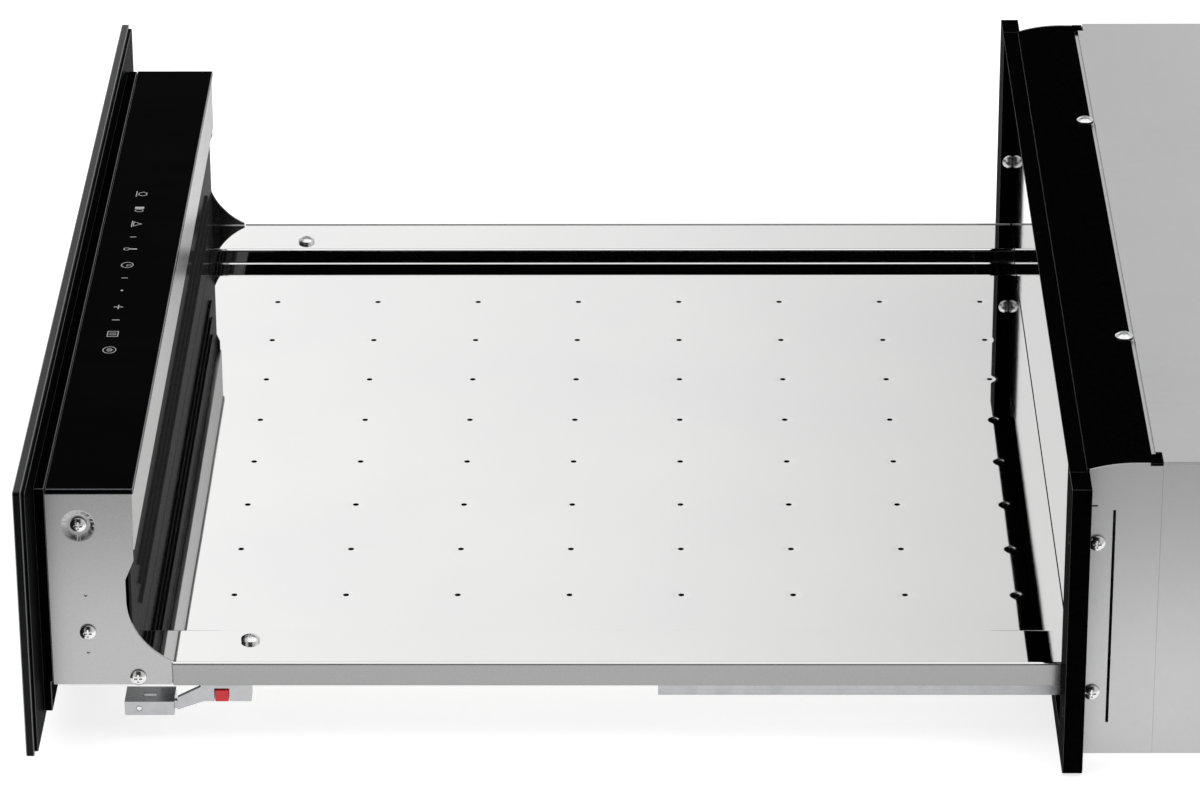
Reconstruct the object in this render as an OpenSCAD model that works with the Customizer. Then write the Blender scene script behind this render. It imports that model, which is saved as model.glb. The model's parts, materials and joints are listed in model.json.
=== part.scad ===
// Built in warming drawer with a touch control housing behind its front glass.
// The drawer stands open at rest; it runs on two undermount telescopic runners.
// X is across the drawer, Y runs from the front glass to the back, Z is up.
// The origin is under the middle of the whole open drawer, on the surface it stands on.

/* [Whole drawer] */
// Width of the front frame, which the glass, the cabinet and the drawer all follow
frame_w = 596; // [560:1:700]
// Height of the front frame, which the glass and the cabinet follow
frame_h = 152; // [146:1:200]
// Distance that the drawer travels from open to closed
travel = 484; // [400:1:540]
// Height of the drawer floor above the standing surface
floor_z = 34.2; // [33.6:0.1:36]
// Depth of the compartment behind the heated space
compartment_d = 41.4; // [41:0.1:70]
// Thickness of the cabinet's galvanised sheet
casing_t = 1; // [0.8:0.1:1.2]
// Height of the pressed feet under the base
foot_h = 2.5; // [1.5:0.1:4]

/* [Front glass] */
// Amount by which the glass is narrower than the frame
glass_narrow = 1; // [0:0.5:10]
// Height of the lower edge of the glass
glass_z = 10.2; // [6:0.1:14]
// Thickness of the front glass
glass_t = 4; // [3:0.1:6]
// Corner radius of the front glass
glass_corner = 1.5; // [1:0.1:4]
// Thickness of the plate bonded behind the glass
backing_t = 1.6; // [1:0.1:3]
// Inset of the backing plate from the edge of the glass
backing_inset = 1.6; // [1:0.1:6]
// Gap left between the backing plate and the frame when closed
closed_gap = 2.8; // [0.5:0.1:4]

/* [Control housing] */
// Depth of the housing, from the spacer plate to the face of its rear strip
housing_d = 43.2; // [40:0.1:60]
// Thickness of the control glass on top
control_glass_t = 3; // [2:0.1:4]
// Height of the stainless strip at the rear of the housing
strip_h = 29.8; // [20:0.1:32]
// Depth by which the louvred panel sits behind the strip's face
panel_recess = 3; // [2:0.1:5]
// Thickness of the housing's sheet metal
sheet_t = 1.2; // [1:0.1:1.5]
// Number of touch keys under the control glass
key_count = 12; // [6:1:16]

/* [Drawer] */
// Width of the raised ledges, from the floor to the outside of the drawer
ledge_w = 36.3; // [34:0.1:44]
// Height of the side ledges above the drawer floor
ledge_h = 8.3; // [6:0.1:8.6]
// Thickness of the floor plate
floor_t = 1; // [0.8:0.1:1.2]
// Drop of the side rails below the drawer floor
side_drop = 3.2; // [3:0.1:3.6]
// Radius of the holes in the drawer floor
hole_r = 1.5; // [1:0.1:2.5]
// Rows of holes across the drawer floor
hole_rows = 8; // [4:1:10]
// Columns of holes along the drawer floor
hole_columns = 8; // [4:1:10]
// Depth of the heater pan below the floor plate
pan_depth = 16; // [14:0.5:17]

/* [Runners] */
// Width of the runner's upper profile
runner_w = 20; // [19:0.5:20]
// Thickness of the runner's steel
runner_t = 1.5; // [1.2:0.1:1.8]
// Radius of the runner's balls
ball_r = 3.5; // [3.2:0.1:3.5]
// Balls in each row of a cage
ball_count = 8; // [4:1:8]

/* [Front frame] */
// Depth of the front frame
frame_d = 9.4; // [8:0.1:10]
// Height of the frame's bottom bar
bar_h = 11.5; // [8:0.1:12.5]
// Thickness of the frame's sheet
frame_t = 1.5; // [1:0.1:2]
// Radius of the frame's lower corners
frame_corner = 5; // [3:0.5:8]
// Overhang of the frame past the cabinet on each side
flange_over = 19; // [17:0.5:24]
// Radius of the four mounting holes
mount_hole_r = 2.25; // [2:0.05:2.75]

/* [Fan] */
// Radius of the fan wheel
wheel_r = 46; // [36:0.5:48]
// Depth of the fan wheel
wheel_d = 13; // [10:0.5:13]
// Number of blades on the fan wheel
blade_count = 24; // [12:1:28]
// Radius of the motor shaft
shaft_r = 2.5; // [2:0.1:3]
// Radius of the cord gland's bore
gland_bore_r = 4.2; // [3:0.1:5]

/* [Hidden] */
$fn = 48;

// One overrun lets every cut run past the faces that it opens
over = 1;
// Clearance between parts that are fitted side by side
fit = 0.3;

// Gaps and overlaps across the width, from the frame inwards
post_lap = 11;
side_gap = 3.7;
housing_inset = 1.3;
runner_inset = 32.3;
pan_side_gap = 8;

// Half widths
frame_x = frame_w / 2;
glass_x = frame_x - glass_narrow / 2;
cabinet_x = frame_x - flange_over;
casing_x = cabinet_x - casing_t;
post_x = cabinet_x - post_lap;
rail_x = post_x - side_gap;
housing_x = rail_x - housing_inset;
plate_x = housing_x - sheet_t;
floor_half_w = rail_x - ledge_w;
runner_x = rail_x - runner_inset;
pan_x = runner_x - runner_w / 2 - pan_side_gap;

// Places along Y, measured from the face of the front glass
spacer_t = 4;
rim_t = 1.2;
strip_set_back = 0.6;
rear_hem = 6;
rear_foot = 5;
rear_wall_inset = 6.6;
rear_wall_gap = 4.8;
baffle_t = 1.2;
spacer_y = glass_t + backing_t;
rim_y = spacer_y + spacer_t;
housing_y = rim_y + rim_t;
strip_y = rim_y + housing_d;
strip_face_y = strip_y - strip_set_back;
panel_y = strip_y - panel_recess;
frame_y = travel + spacer_y + closed_gap;
frame_back_y = frame_y + frame_d;
rear_wall_y = frame_y + rear_wall_inset;
baffle_y = rear_wall_y + rear_hem + travel + rear_wall_gap;
baffle_back_y = baffle_y + baffle_t;
back_y = baffle_back_y + compartment_d;
total_l = back_y + casing_t;
front_y = -total_l / 2;

// Trim over the frame, whose curve sets the height of the roof
trim_t = 1.2;
trim_run = 22;
trim_rise = 4.3;
trim_lip = 1.1;
trim_flat = 7.5;
trim_screw_share = 0.495;
trim_screw_y = 4.4;
trim_top_z = frame_h + trim_rise;
trim_under_z = trim_top_z - trim_t;
trim_curve_rise = trim_rise - trim_lip;
trim_r = (trim_run * trim_run + trim_curve_rise * trim_curve_rise) / (2 * trim_curve_rise);
trim_centre_z = trim_top_z - trim_r;
trim_turn_y = frame_back_y + trim_run;
trim_end_y = trim_turn_y + trim_flat;
trim_facets = 240;
ear_d = 4.5;
ear_w = 10.5;
ear_y = trim_end_y - over;
trim_x = casing_x - fit;
roof_gap = 1.8;
roof_front_y = trim_end_y + roof_gap;
roof_lift = 0.9;

// Heights
glass_top_gap = 1.8;
housing_drop = 14.7;
rear_wall_drop = 22.3;
base_z = foot_h;
base_top_z = foot_h + casing_t;
roof_z = trim_top_z + roof_lift;
glass_h = frame_h - glass_top_gap - glass_z;
housing_z = glass_z + glass_h - housing_drop;
control_z = housing_z - control_glass_t;
strip_z = control_z - strip_h;
side_z = floor_z - side_drop;
ledge_z = floor_z + ledge_h;
rear_wall_z = housing_z - rear_wall_drop;

// Spacer plate, its rim, and the plate behind the glass
rim_w = 8;
spacer_z = 16.6;
backing_corner = 2;
backing_window_corner = 6;
backing_window_w = 150;
backing_window_h = 60;

// Control glass, its carrier and board
control_over = 0.4;
control_front_gap = 0.3;
carrier_half_l = 128;
carrier_wall = 2;
carrier_drop = 12;
carrier_rib_count = 5;
board_half_l = 122;
board_t = 1.6;
board_drop = 6;
board_inset = 1;
key_r = 2.6;
key_gap = 0.1;
key_span_share = 0.8;
chip_w = 9;
chip_l = 3.2;
chip_h = 1.6;
chip_count = 5;
plug_l = 14;
plug_w = 6;
plug_h = 5;

// Rear strip and louvred panel
panel_lap = 6;
strip_top_lip = 12;
louvre_count = 3;
louvre_first_share = 0.285;
louvre_pitch_share = 0.15;
louvre_out = 1.2;
louvre_end_gap = 3;
louvre_slot_h = 2;
louvre_bridge = 12;
louvre_slots = 6;
louvre_low_z = floor_z + (strip_z - floor_z) * louvre_first_share;
louvre_pitch = (strip_z - floor_z) * louvre_pitch_share;
louvre_half_l = floor_half_w - louvre_end_gap;

// Side plates of the housing
plate_step_y = 1.3;
plate_waist_y = 5.5;
plate_step_drop = 5.5;
plate_waist_drop = 15.5;
plate_tail_y = 15;
plate_fold = 10;
sweep_r_share = 0.812;
sweep_drop_share = 0.239;
dish_y = 15.3;
dish_drop = 19.6;
dish_r = 8.5;
dish_floor_r = 5;
dish_depth = 1.6;
pip_r = 0.8;
pip_y = 17.3;
pip_high_rise = 45;
pip_low_rise = 14.4;
plate_screw_y = 17.6;
plate_screw_rise = 25.2;
tail_screw_y = 40.7;
tail_screw_rise = 0.9;
waist_z = strip_z - plate_waist_drop;
sweep_r = (waist_z - ledge_z) * sweep_r_share;
sweep_z = waist_z - (waist_z - ledge_z) * sweep_drop_share;

// Screws, with pan heads
head_r = 3.9;
head_h = 2.5;
large_head_r = 4.5;
large_head_h = 3;
crown_share = 1.5;
shank_r = 1.9;
shank_l = 3.4;
cross_w = 0.8;
cross_l = 4;
cross_depth = 1;
screw_play = 0.1;

// Side rails of the drawer
rail_lip_rise = 1.1;
rail_flange_gap = 2;
rail_flange_x = runner_x - runner_w / 2 - rail_flange_gap;
rail_flange_front_y = housing_y + sheet_t + fit;
rail_front_y = strip_y + plate_tail_y + fit;

// Floor plate
fold_in_r = 0.8;
fold_out_r = 1.4;
floor_tuck = 6;
hole_front_gap = 38.7;
hole_back_gap = 21.7;
hole_side_gap = 52.5;
ledge_screw_inset = 24.9;
ledge_screw_y = 103.9;
floor_front_y = panel_y - sheet_t - floor_tuck;
floor_end_y = rear_wall_y - fit;
ledge_edge_x = rail_x - sheet_t - fit;
first_hole_y = strip_y + hole_front_gap;
hole_pitch_x = 2 * (floor_half_w - hole_side_gap) / (hole_rows - 1);
hole_pitch_y = (floor_end_y - hole_back_gap - first_hole_y) / (hole_columns - 1);
ledge_screw_x = rail_x - ledge_screw_inset;

// Heater pan, insulation, element and thermostat
pan_rim = 5;
pan_t = 1;
pan_front_gap = 29.2;
pan_back_gap = 11;
pan_corner = 12;
pad_t = 4;
element_r = 3.3;
element_runs = 4;
element_side_gap = 22;
element_end_gap = 18;
element_tail_gap = 12;
thermo_r = 7;
thermo_h = 5;
thermo_tab_w = 4;
thermo_tab_l = 7;
thermo_tab_t = 0.8;
pan_front_y = strip_y + pan_front_gap;
pan_back_y = rear_wall_y - pan_back_gap;
element_pitch = 2 * (pan_x - element_side_gap) / element_runs;
element_bend_r = element_pitch / 2;

// Runner profiles
slide_front_gap = 7.2;
slide_back_gap = 2;
slide_flange = 6.8;
ball_gap = 0.15;
ball_inset = 0.3;
middle_out = 0.5;
middle_lip_up = 1.7;
middle_lip_down = 6.4;
middle_closed_gap = 40.5;
middle_short = 40;
cabinet_rail_gap = 1.2;
cabinet_rail_front_gap = 2;
cabinet_rail_back_gap = 20;
cabinet_rail_lip = 6;
rail_window_l = 60;
rail_window_count = 5;
cage_t = 0.8;
cage_end = 4;
cage_pitch = 21;
upper_cage_gap = 24.1;
lower_cage_gap = 18.6;
cabinet_rail_front_y = frame_back_y + cabinet_rail_front_gap;
cabinet_rail_l = baffle_y - cabinet_rail_back_gap - cabinet_rail_front_y;
middle_front_y = frame_back_y + middle_closed_gap - travel / 2;
middle_l = cabinet_rail_l - middle_short;

// Heights of the runner profiles
slide_web_z = side_z - runner_t;
upper_ball_z = slide_web_z - ball_gap - ball_r;
middle_web_top = upper_ball_z - ball_r - ball_gap;
middle_web_z = middle_web_top - runner_t;
lower_ball_z = middle_web_z - ball_gap - ball_r;
cabinet_web_top = lower_ball_z - ball_r - ball_gap;
cabinet_web_z = cabinet_web_top - runner_t;
ball_row_x = runner_w / 2 - runner_t - ball_inset - ball_r;

// Locking clips and release buttons
clip_inset = 2.3;
clip_front_gap = 8.7;
clip_plate_l = 23.8;
clip_block_gap = 36.9;
clip_arm_l = 61.1;
clip_plate_w = 15.7;
clip_block_w = 10;
clip_t = 1.2;
clip_low = 20.4;
clip_shelf = 13.1;
clip_block_low = 12.9;
clip_slot_l = 6;
clip_slot_w = 3;
clip_rivet_r = 1.4;
clip_rivet_y = 7;
lever_t = 2.4;
lever_gap = 1.7;
lever_low_rise = 2.9;
lever_top_rise = 2.2;
button_y_gap = 43.7;
button_l = 6.5;
button_low = 12.7;
button_high = 6.3;
button_proud = 0.8;
button_inner_gap = 3.4;
clip_out_x = rail_x - clip_inset;
clip_front_y = strip_y - clip_front_gap;
button_y = clip_front_y + button_y_gap;

// Front frame: its mounting holes and post screws
mount_inset = 9.5;
mount_low_z = 30;
mount_top_gap = 30;
post_screw_y = 5;
post_screw_share = 0.518;
mount_x = frame_x - mount_inset;
mount_high_z = frame_h - mount_top_gap;
post_screw_z = frame_h * post_screw_share;

// Front brackets and casing
seam = 0.05;
bracket_end_y = trim_end_y + ear_d + fit;
bracket_lap = 10;
bracket_fold = 9;
slot_y = 11.6;
slot_w = 1.4;
slot_low_z = 19.4;
slot_top_gap = 19.8;
notch_top_gap = 18;
notch_h = 0.8;
notch_l = 3.4;
bracket_screw_y = 4.6;
bracket_screw_top_gap = 37;
bracket_screw_low_z = 35.7;
casing_fold = 8;
casing_fold_gap = 3;
roof_tab_gap = 0.5;
base_fold = 7;
foot_r = 9;
foot_share = 0.54;
foot_front_gap = 60;
foot_back_gap = 45;
vent_count = 12;
vent_w = 5;
vent_h = 40;
vent_pitch = 12;
casing_fold_y = bracket_end_y + casing_fold_gap;
roof_tab_y = trim_turn_y + roof_tab_gap;

// Rear compartment with the fan
fan_z = (base_top_z + roof_z) / 2;
baffle_fold = 9;
baffle_top_gap = 2;
grille_rings = 4;
grille_hole_r = 3;
grille_pitch = 9.5;
grille_step_count = 6;
outlet_count = 5;
outlet_w = 70;
outlet_h = 6;
outlet_pitch = 14;
outlet_share = 0.466;
wheel_gap = 3;
wheel_plate_t = 1.2;
blade_t = 1;
blade_l = 17;
blade_tilt = 32;
hub_r = 7;
shaft_fit = 0.03;
bracket_gap = 2.5;
motor_plate_t = 1.2;
motor_plate_x = 62;
motor_plate_h = 44;
leg_r = 3;
leg_x = 56;
leg_z = 16;
motor_plate_hole_r = 12;
bearing_t = 1.8;
stack_t = 12;
stack_x = 24;
stack_up = 22;
stack_down = 18;
stack_bore_r = 9;
coil_x = 15;
coil_h = 16;
coil_proud = 2.6;
rotor_core_r = 8.6;
rotor_core_l = 11;
shaft_front = 1.5;
shaft_back = 1.2;
wheel_y = baffle_back_y + wheel_gap;
wheel_back_y = wheel_y + wheel_d;
bracket_y = wheel_back_y + bracket_gap;
motor_y = bracket_y + motor_plate_t;
stack_y = motor_y + bearing_t;
stack_back_y = stack_y + stack_t;

// Electric fittings in the rear compartment
terminal_inset = 89;
terminal_w = 46;
terminal_d = 20;
terminal_h = 18;
terminal_ways = 3;
terminal_way_r = 2.4;
terminal_way_z = 6;
terminal_y = 10;
gland_inset = 44;
gland_z = 40;
gland_r = 7.5;
gland_flange_r = 11;
gland_flange_t = 2.5;
gland_l = 14;
power_inset = 94;
power_w = 120;
power_d = 30;
power_post_h = 6;
power_post_r = 3;
power_post_inset = 7;
power_y = 6;
relay_w = 15;
relay_h = 16;
relay_d = 12;
relay_pitch = 26;
relay_count = 3;
choke_r = 8;
choke_h = 14;
limit_x = 95;
limit_rise = 39;
limit_r = 8;
limit_h = 7;
gland_x = gland_inset - cabinet_x;
terminal_x = terminal_inset - cabinet_x;
power_x = cabinet_x - power_inset;
limit_z = fan_z + limit_rise;

// Number of a piece in a row, counted from the middle of the row
function centred(i, count) = i - (count - 1) / 2;

// Box between two corners
module block(low, high) {
    translate(low) cube(high - low);
}

// Profile in Y and Z, drawn out along X
module across(x0, x1) {
    translate([x0, 0, 0]) rotate([90, 0, 90]) linear_extrude(x1 - x0) children();
}

// Profile in X and Z, drawn out along Y
module along(y0, y1) {
    translate([0, y1, 0]) rotate([90, 0, 0]) linear_extrude(y1 - y0) children();
}

// The same shape on both sides
module both_sides() {
    children();
    mirror([1, 0, 0]) children();
}

// Everything is drawn from the face of the glass, then set about the origin
module placed() {
    translate([0, front_y, 0]) children();
}

// Rectangle with round corners, from its lower left corner
module round_rect(w, h, r) {
    translate([r, 0]) square([w - 2 * r, h]);
    translate([0, r]) square([w, h - 2 * r]);
    for (x = [r, w - r]) {
        for (z = [r, h - r]) translate([x, z]) circle(r);
    }
}

// Quarter of a sheet fold about a centre, towards the given side and height
module fold(centre, r, t, side, up) {
    translate(centre) intersection() {
        difference() {
            circle(r);
            circle(r - t);
        }
        translate([side < 0 ? -r : 0, up < 0 ? -r : 0]) square(r);
    }
}

// Bar along X or Y, given its two ends
module bar_y(x, y0, y1, z, r) {
    translate([x, y0, z]) rotate([-90, 0, 0]) cylinder(r = r, h = y1 - y0);
}

module bar_x(x0, x1, y, z, r) {
    translate([x0, y, z]) rotate([0, 90, 0]) cylinder(r = r, h = x1 - x0);
}

// Pan head screw whose head, of radius r and height h, stands up from the origin
module screw(r = head_r, h = head_h) {
    crown_r = r * crown_share;
    difference() {
        union() {
            intersection() {
                cylinder(r = r, h = h);
                translate([0, 0, h - crown_r]) sphere(r = crown_r);
            }
            translate([0, 0, -shank_l]) cylinder(r = shank_r, h = shank_l + h / 2);
        }
        for (a = [0, 90]) rotate([0, 0, a]) {
            block([-cross_l / 2, -cross_w / 2, h - cross_depth], [cross_l / 2, cross_w / 2, h + over]);
        }
    }
}

// Hole for a screw, along the local Z axis
module screw_hole() {
    translate([0, 0, -shank_l - over]) cylinder(r = shank_r + screw_play, h = shank_l + 2 * over);
}

// Places of the small screws on the side plates: distance back from the rim, rise over the floor
plate_screws = [[plate_screw_y, plate_screw_rise], [tail_screw_y, tail_screw_rise]];

// Puts a screw or its hole on the outer face at x, with its head outwards
module on_side(x, y, z) {
    translate([x, y, z]) rotate([0, 90, 0]) children();
}

module front_glass() {
    color("#101113") placed() translate([-glass_x, 0, glass_z]) {
        along(0, glass_t) round_rect(2 * glass_x, glass_h, glass_corner);
    }
}

module glass_backing() {
    w = 2 * (glass_x - backing_inset);
    h = glass_h - 2 * backing_inset;
    color("#1b1c1e") placed() translate([-w / 2, 0, glass_z + backing_inset]) {
        along(glass_t, spacer_y) difference() {
            round_rect(w, h, backing_corner);
            for (side = [-1, 1]) {
                translate([w / 2 + side * w / 4 - backing_window_w / 2, (h - backing_window_h) / 2]) {
                    round_rect(backing_window_w, backing_window_h, backing_window_corner);
                }
            }
        }
    }
}

module front_spacer() {
    rim_low = side_z + sheet_t;
    color("#17181a") placed() {
        block([-housing_x, spacer_y, spacer_z], [housing_x, rim_y, housing_z]);
        difference() {
            block([-housing_x, rim_y, rim_low], [housing_x, housing_y, housing_z]);
            block([-housing_x + rim_w, rim_y, rim_low + rim_w],
                  [housing_x - rim_w, housing_y + over, housing_z - rim_w]);
        }
    }
}

module control_glass() {
    x = housing_x + control_over;
    color("#0c0c0e") placed() {
        block([-x, housing_y + control_front_gap, control_z], [x, strip_y, housing_z]);
    }
}

// Tray of moulded plastic under the control glass
carrier_y0 = housing_y + fit;
carrier_y1 = strip_face_y - strip_top_lip - fit;
carrier_z = control_z - carrier_drop;
board_z = control_z - board_drop - board_t;

module control_carrier() {
    inner_y0 = carrier_y0 + carrier_wall;
    inner_y1 = carrier_y1 - carrier_wall;
    inner_x = carrier_half_l - carrier_wall;
    color("#26282b") placed() {
        difference() {
            block([-carrier_half_l, carrier_y0, carrier_z], [carrier_half_l, carrier_y1, control_z]);
            block([-inner_x, inner_y0, carrier_z + carrier_wall], [inner_x, inner_y1, control_z + over]);
        }
        for (i = [0 : carrier_rib_count - 1]) {
            x = centred(i, carrier_rib_count) * 2 * inner_x / carrier_rib_count;
            block([x - carrier_wall / 2, inner_y0, carrier_z + carrier_wall],
                  [x + carrier_wall / 2, inner_y1, board_z]);
        }
    }
}

module control_board() {
    y0 = carrier_y0 + carrier_wall + board_inset;
    y1 = carrier_y1 - carrier_wall - board_inset;
    key_span = 2 * board_half_l * key_span_share;
    mid_y = (y0 + y1) / 2;
    color("#1e6b3a") placed() {
        block([-board_half_l, y0, board_z], [board_half_l, y1, board_z + board_t]);
        for (i = [0 : key_count - 1]) {
            x = -key_span / 2 + i * key_span / (key_count - 1);
            translate([x, mid_y, board_z + board_t]) cylinder(r = key_r, h = board_drop - key_gap);
        }
        for (i = [0 : chip_count - 1]) {
            x = centred(i, chip_count) * 2 * board_half_l / chip_count;
            block([x + key_r, y0 + board_inset, board_z + board_t],
                  [x + key_r + chip_w, y0 + board_inset + chip_l, board_z + board_t + chip_h]);
        }
        block([board_half_l - plug_l, y1 - plug_w, board_z + board_t],
              [board_half_l - board_inset, y1 - board_inset, board_z + board_t + plug_h]);
    }
}

module housing_strip() {
    color("#b9babb") placed() across(-plate_x, plate_x) {
        translate([strip_face_y - sheet_t, strip_z]) square([sheet_t, strip_h]);
        translate([panel_y, strip_z]) square([strip_face_y - panel_y, sheet_t]);
        translate([strip_face_y - strip_top_lip, control_z - sheet_t]) square([strip_top_lip, sheet_t]);
    }
}

// Black panel under the strip, with long pressed louvres over its air slots
module louvre_panel() {
    bridge_l = 2 * louvre_half_l / louvre_slots;
    color("#1a1b1d") placed() {
        difference() {
            block([-plate_x, panel_y - sheet_t, floor_z + fit],
                  [plate_x, panel_y, strip_z + panel_lap]);
            both_sides() {
                block([floor_half_w - sheet_t, panel_y - sheet_t - over, floor_z - over],
                      [plate_x + over, panel_y + over, ledge_z + fit]);
            }
            for (i = [0 : louvre_count - 1]) {
                z = louvre_low_z + i * louvre_pitch;
                for (k = [0 : louvre_slots - 1]) {
                    x = -louvre_half_l + k * bridge_l;
                    block([x + louvre_bridge / 2, panel_y - sheet_t - over, z],
                          [x + bridge_l - louvre_bridge / 2, panel_y + over, z + louvre_slot_h]);
                }
            }
        }
        for (i = [0 : louvre_count - 1]) {
            z = louvre_low_z + i * louvre_pitch + louvre_slot_h;
            across(-louvre_half_l, louvre_half_l) translate([panel_y, z - louvre_out / 2]) {
                intersection() {
                    difference() {
                        circle(louvre_out);
                        circle(louvre_out - sheet_t / 2);
                    }
                    square(louvre_out);
                }
            }
        }
    }
}

module housing_base() {
    z = side_z + sheet_t;
    color("#232427") placed() {
        block([-plate_x + fit, housing_y, z], [plate_x - fit, floor_front_y - fit, z + sheet_t]);
        block([-plate_x + plate_fold + fit, housing_y, z],
              [plate_x - plate_fold - fit, housing_y + sheet_t, z + rim_w]);
    }
}

// Outline of a side plate in Y and Z, with the concave sweep at its rear
module plate_outline() {
    back = strip_y - plate_step_y;
    waist = strip_y - plate_waist_y;
    tail = strip_y + plate_tail_y;
    difference() {
        union() {
            polygon([[housing_y, side_z], [waist, side_z], [waist, waist_z],
                     [back, strip_z - plate_step_drop], [back, control_z], [housing_y, control_z]]);
            translate([housing_y, side_z]) square([tail - housing_y, sweep_z - side_z]);
        }
        translate([waist + sweep_r, sweep_z]) circle(sweep_r);
        translate([waist + sweep_r, ledge_z]) square([sweep_r, sweep_z]);
    }
}

module dish(extra) {
    rotate_extrude() polygon([[0, extra], [dish_r, extra], [dish_r, 0], [dish_floor_r, -dish_depth],
                              [0, -dish_depth]]);
}

module side_plate() {
    color("#a9abad") placed() difference() {
        union() {
            across(plate_x, housing_x) plate_outline();
            block([plate_x - plate_fold, housing_y, side_z + 2 * sheet_t + fit],
                  [plate_x, housing_y + sheet_t, control_z - sheet_t - fit]);
            on_side(housing_x, housing_y + dish_y, housing_z - dish_drop) translate([0, 0, -sheet_t]) {
                rotate_extrude() polygon([[0, 0], [dish_r, 0], [dish_floor_r, -dish_depth],
                                          [0, -dish_depth]]);
            }
        }
        on_side(housing_x, housing_y + dish_y, housing_z - dish_drop) {
            dish(over);
            translate([0, 0, -dish_depth]) screw_hole();
        }
        for (s = plate_screws) {
            on_side(housing_x, housing_y + s[0], floor_z + s[1]) screw_hole();
        }
        for (rise = [pip_high_rise, pip_low_rise]) {
            on_side(housing_x, housing_y + pip_y, floor_z + rise) {
                translate([0, 0, -sheet_t / 2]) cylinder(r = pip_r, h = sheet_t);
            }
        }
    }
}

module side_plate_right() {
    side_plate();
}

module side_plate_left() {
    mirror([1, 0, 0]) side_plate();
}

// Section of the floor plate in X and Z, right half
module floor_section(edge_x) {
    x_in = floor_half_w - fold_in_r;
    x_out = floor_half_w + fold_out_r;
    edge = edge_x - fold_out_r;
    translate([0, floor_z - floor_t]) square([x_in, floor_t]);
    fold([x_in, floor_z + fold_in_r], fold_in_r + floor_t, floor_t, 1, -1);
    translate([floor_half_w, floor_z + fold_in_r]) {
        square([floor_t, ledge_h - fold_in_r - fold_out_r]);
    }
    fold([x_out, ledge_z - fold_out_r], fold_out_r, floor_t, -1, 1);
    translate([x_out, ledge_z - floor_t]) square([edge - x_out, floor_t]);
    fold([edge, ledge_z - fold_out_r], fold_out_r, floor_t, 1, 1);
    translate([edge_x - floor_t, side_z + sheet_t]) {
        square([floor_t, ledge_z - fold_out_r - side_z - sheet_t]);
    }
}

module floor_plate() {
    front_edge_x = plate_x - fit;
    color("#dcdddd") placed() difference() {
        union() {
            both_sides() along(rail_front_y, floor_end_y) floor_section(ledge_edge_x);
            both_sides() along(floor_front_y, rail_front_y) floor_section(front_edge_x);
        }
        for (i = [0 : hole_rows - 1]) {
            for (k = [0 : hole_columns - 1]) {
                x = centred(i, hole_rows) * hole_pitch_x;
                translate([x, first_hole_y + k * hole_pitch_y, floor_z - floor_t - over]) {
                    cylinder(r = hole_r, h = floor_t + 2 * over);
                }
            }
        }
        both_sides() {
            translate([ledge_screw_x, ledge_screw_y, ledge_z]) screw_hole();
            on_side(housing_x, housing_y + tail_screw_y, floor_z + tail_screw_rise) screw_hole();
        }
    }
}

// Pan that hangs under the floor plate and holds the heating element
pan_top_z = floor_z - floor_t;
pan_z = pan_top_z - pan_depth;

module pan_shape(x, y0, y1, r, z0, z1) {
    translate([-x, y0, z0]) linear_extrude(z1 - z0) round_rect(2 * x, y1 - y0, r);
}

module base_pan() {
    color("#9c9fa2") placed() difference() {
        union() {
            pan_shape(pan_x - pan_rim, pan_front_y, pan_back_y, pan_corner, pan_z, pan_top_z);
            pan_shape(pan_x, pan_front_y - pan_rim, pan_back_y + pan_rim, pan_corner, pan_top_z - pan_t,
                      pan_top_z);
        }
        pan_shape(pan_x - pan_rim - pan_t, pan_front_y + pan_t, pan_back_y - pan_t, pan_corner - pan_t,
                  pan_z + pan_t, pan_top_z + over);
    }
}

module insulation_pad() {
    inset = pan_rim + pan_t + fit;
    color("#c9c3ae") placed() {
        pan_shape(pan_x - inset, pan_front_y + pan_t + fit, pan_back_y - pan_t - fit, pan_corner - pan_t,
                  pan_z + pan_t, pan_z + pan_t + pad_t);
    }
}

// Tubular element, bent in a flat serpentine on the insulation
module heating_element() {
    z = pan_z + pan_t + pad_t + element_r;
    front = pan_front_y + element_end_gap + element_bend_r;
    back = pan_back_y - element_end_gap - element_bend_r;
    color("#5d5b58") placed() {
        for (i = [0 : element_runs - 1]) {
            is_end = i == 0 || i == element_runs - 1;
            bar_y(centred(i, element_runs) * element_pitch, is_end ? pan_front_y + element_tail_gap : front,
                  back, z, element_r);
        }
        for (i = [0 : element_runs - 2]) {
            x = centred(i, element_runs - 1) * element_pitch;
            far = i % 2 == 0;
            translate([x, far ? back : front, z]) {
                rotate([0, 0, far ? 0 : 180]) rotate_extrude(angle = 180) {
                    translate([element_bend_r, 0]) circle(element_r);
                }
            }
        }
    }
}

module floor_thermostat() {
    color("#d8d4c6") placed() translate([0, (pan_front_y + pan_back_y) / 2, pan_top_z - thermo_h]) {
        cylinder(r = thermo_r, h = thermo_h);
        for (side = [-1, 1]) {
            block([side * thermo_r / 2 - thermo_tab_w / 2, thermo_r - over, 0],
                  [side * thermo_r / 2 + thermo_tab_w / 2, thermo_r + thermo_tab_l, thermo_tab_t]);
        }
    }
}

module side_rail() {
    z = side_z + sheet_t;
    color("#b4b6b8") placed() {
        block([rail_x - sheet_t, rail_front_y, side_z], [rail_x, floor_end_y, ledge_z + rail_lip_rise]);
        block([rail_flange_x, rail_front_y, side_z], [rail_x, floor_end_y, z]);
        block([rail_flange_x, rail_flange_front_y, side_z], [plate_x - fit, rail_front_y + over, z]);
    }
}

module side_rail_right() {
    side_rail();
}

module side_rail_left() {
    mirror([1, 0, 0]) side_rail();
}

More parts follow.
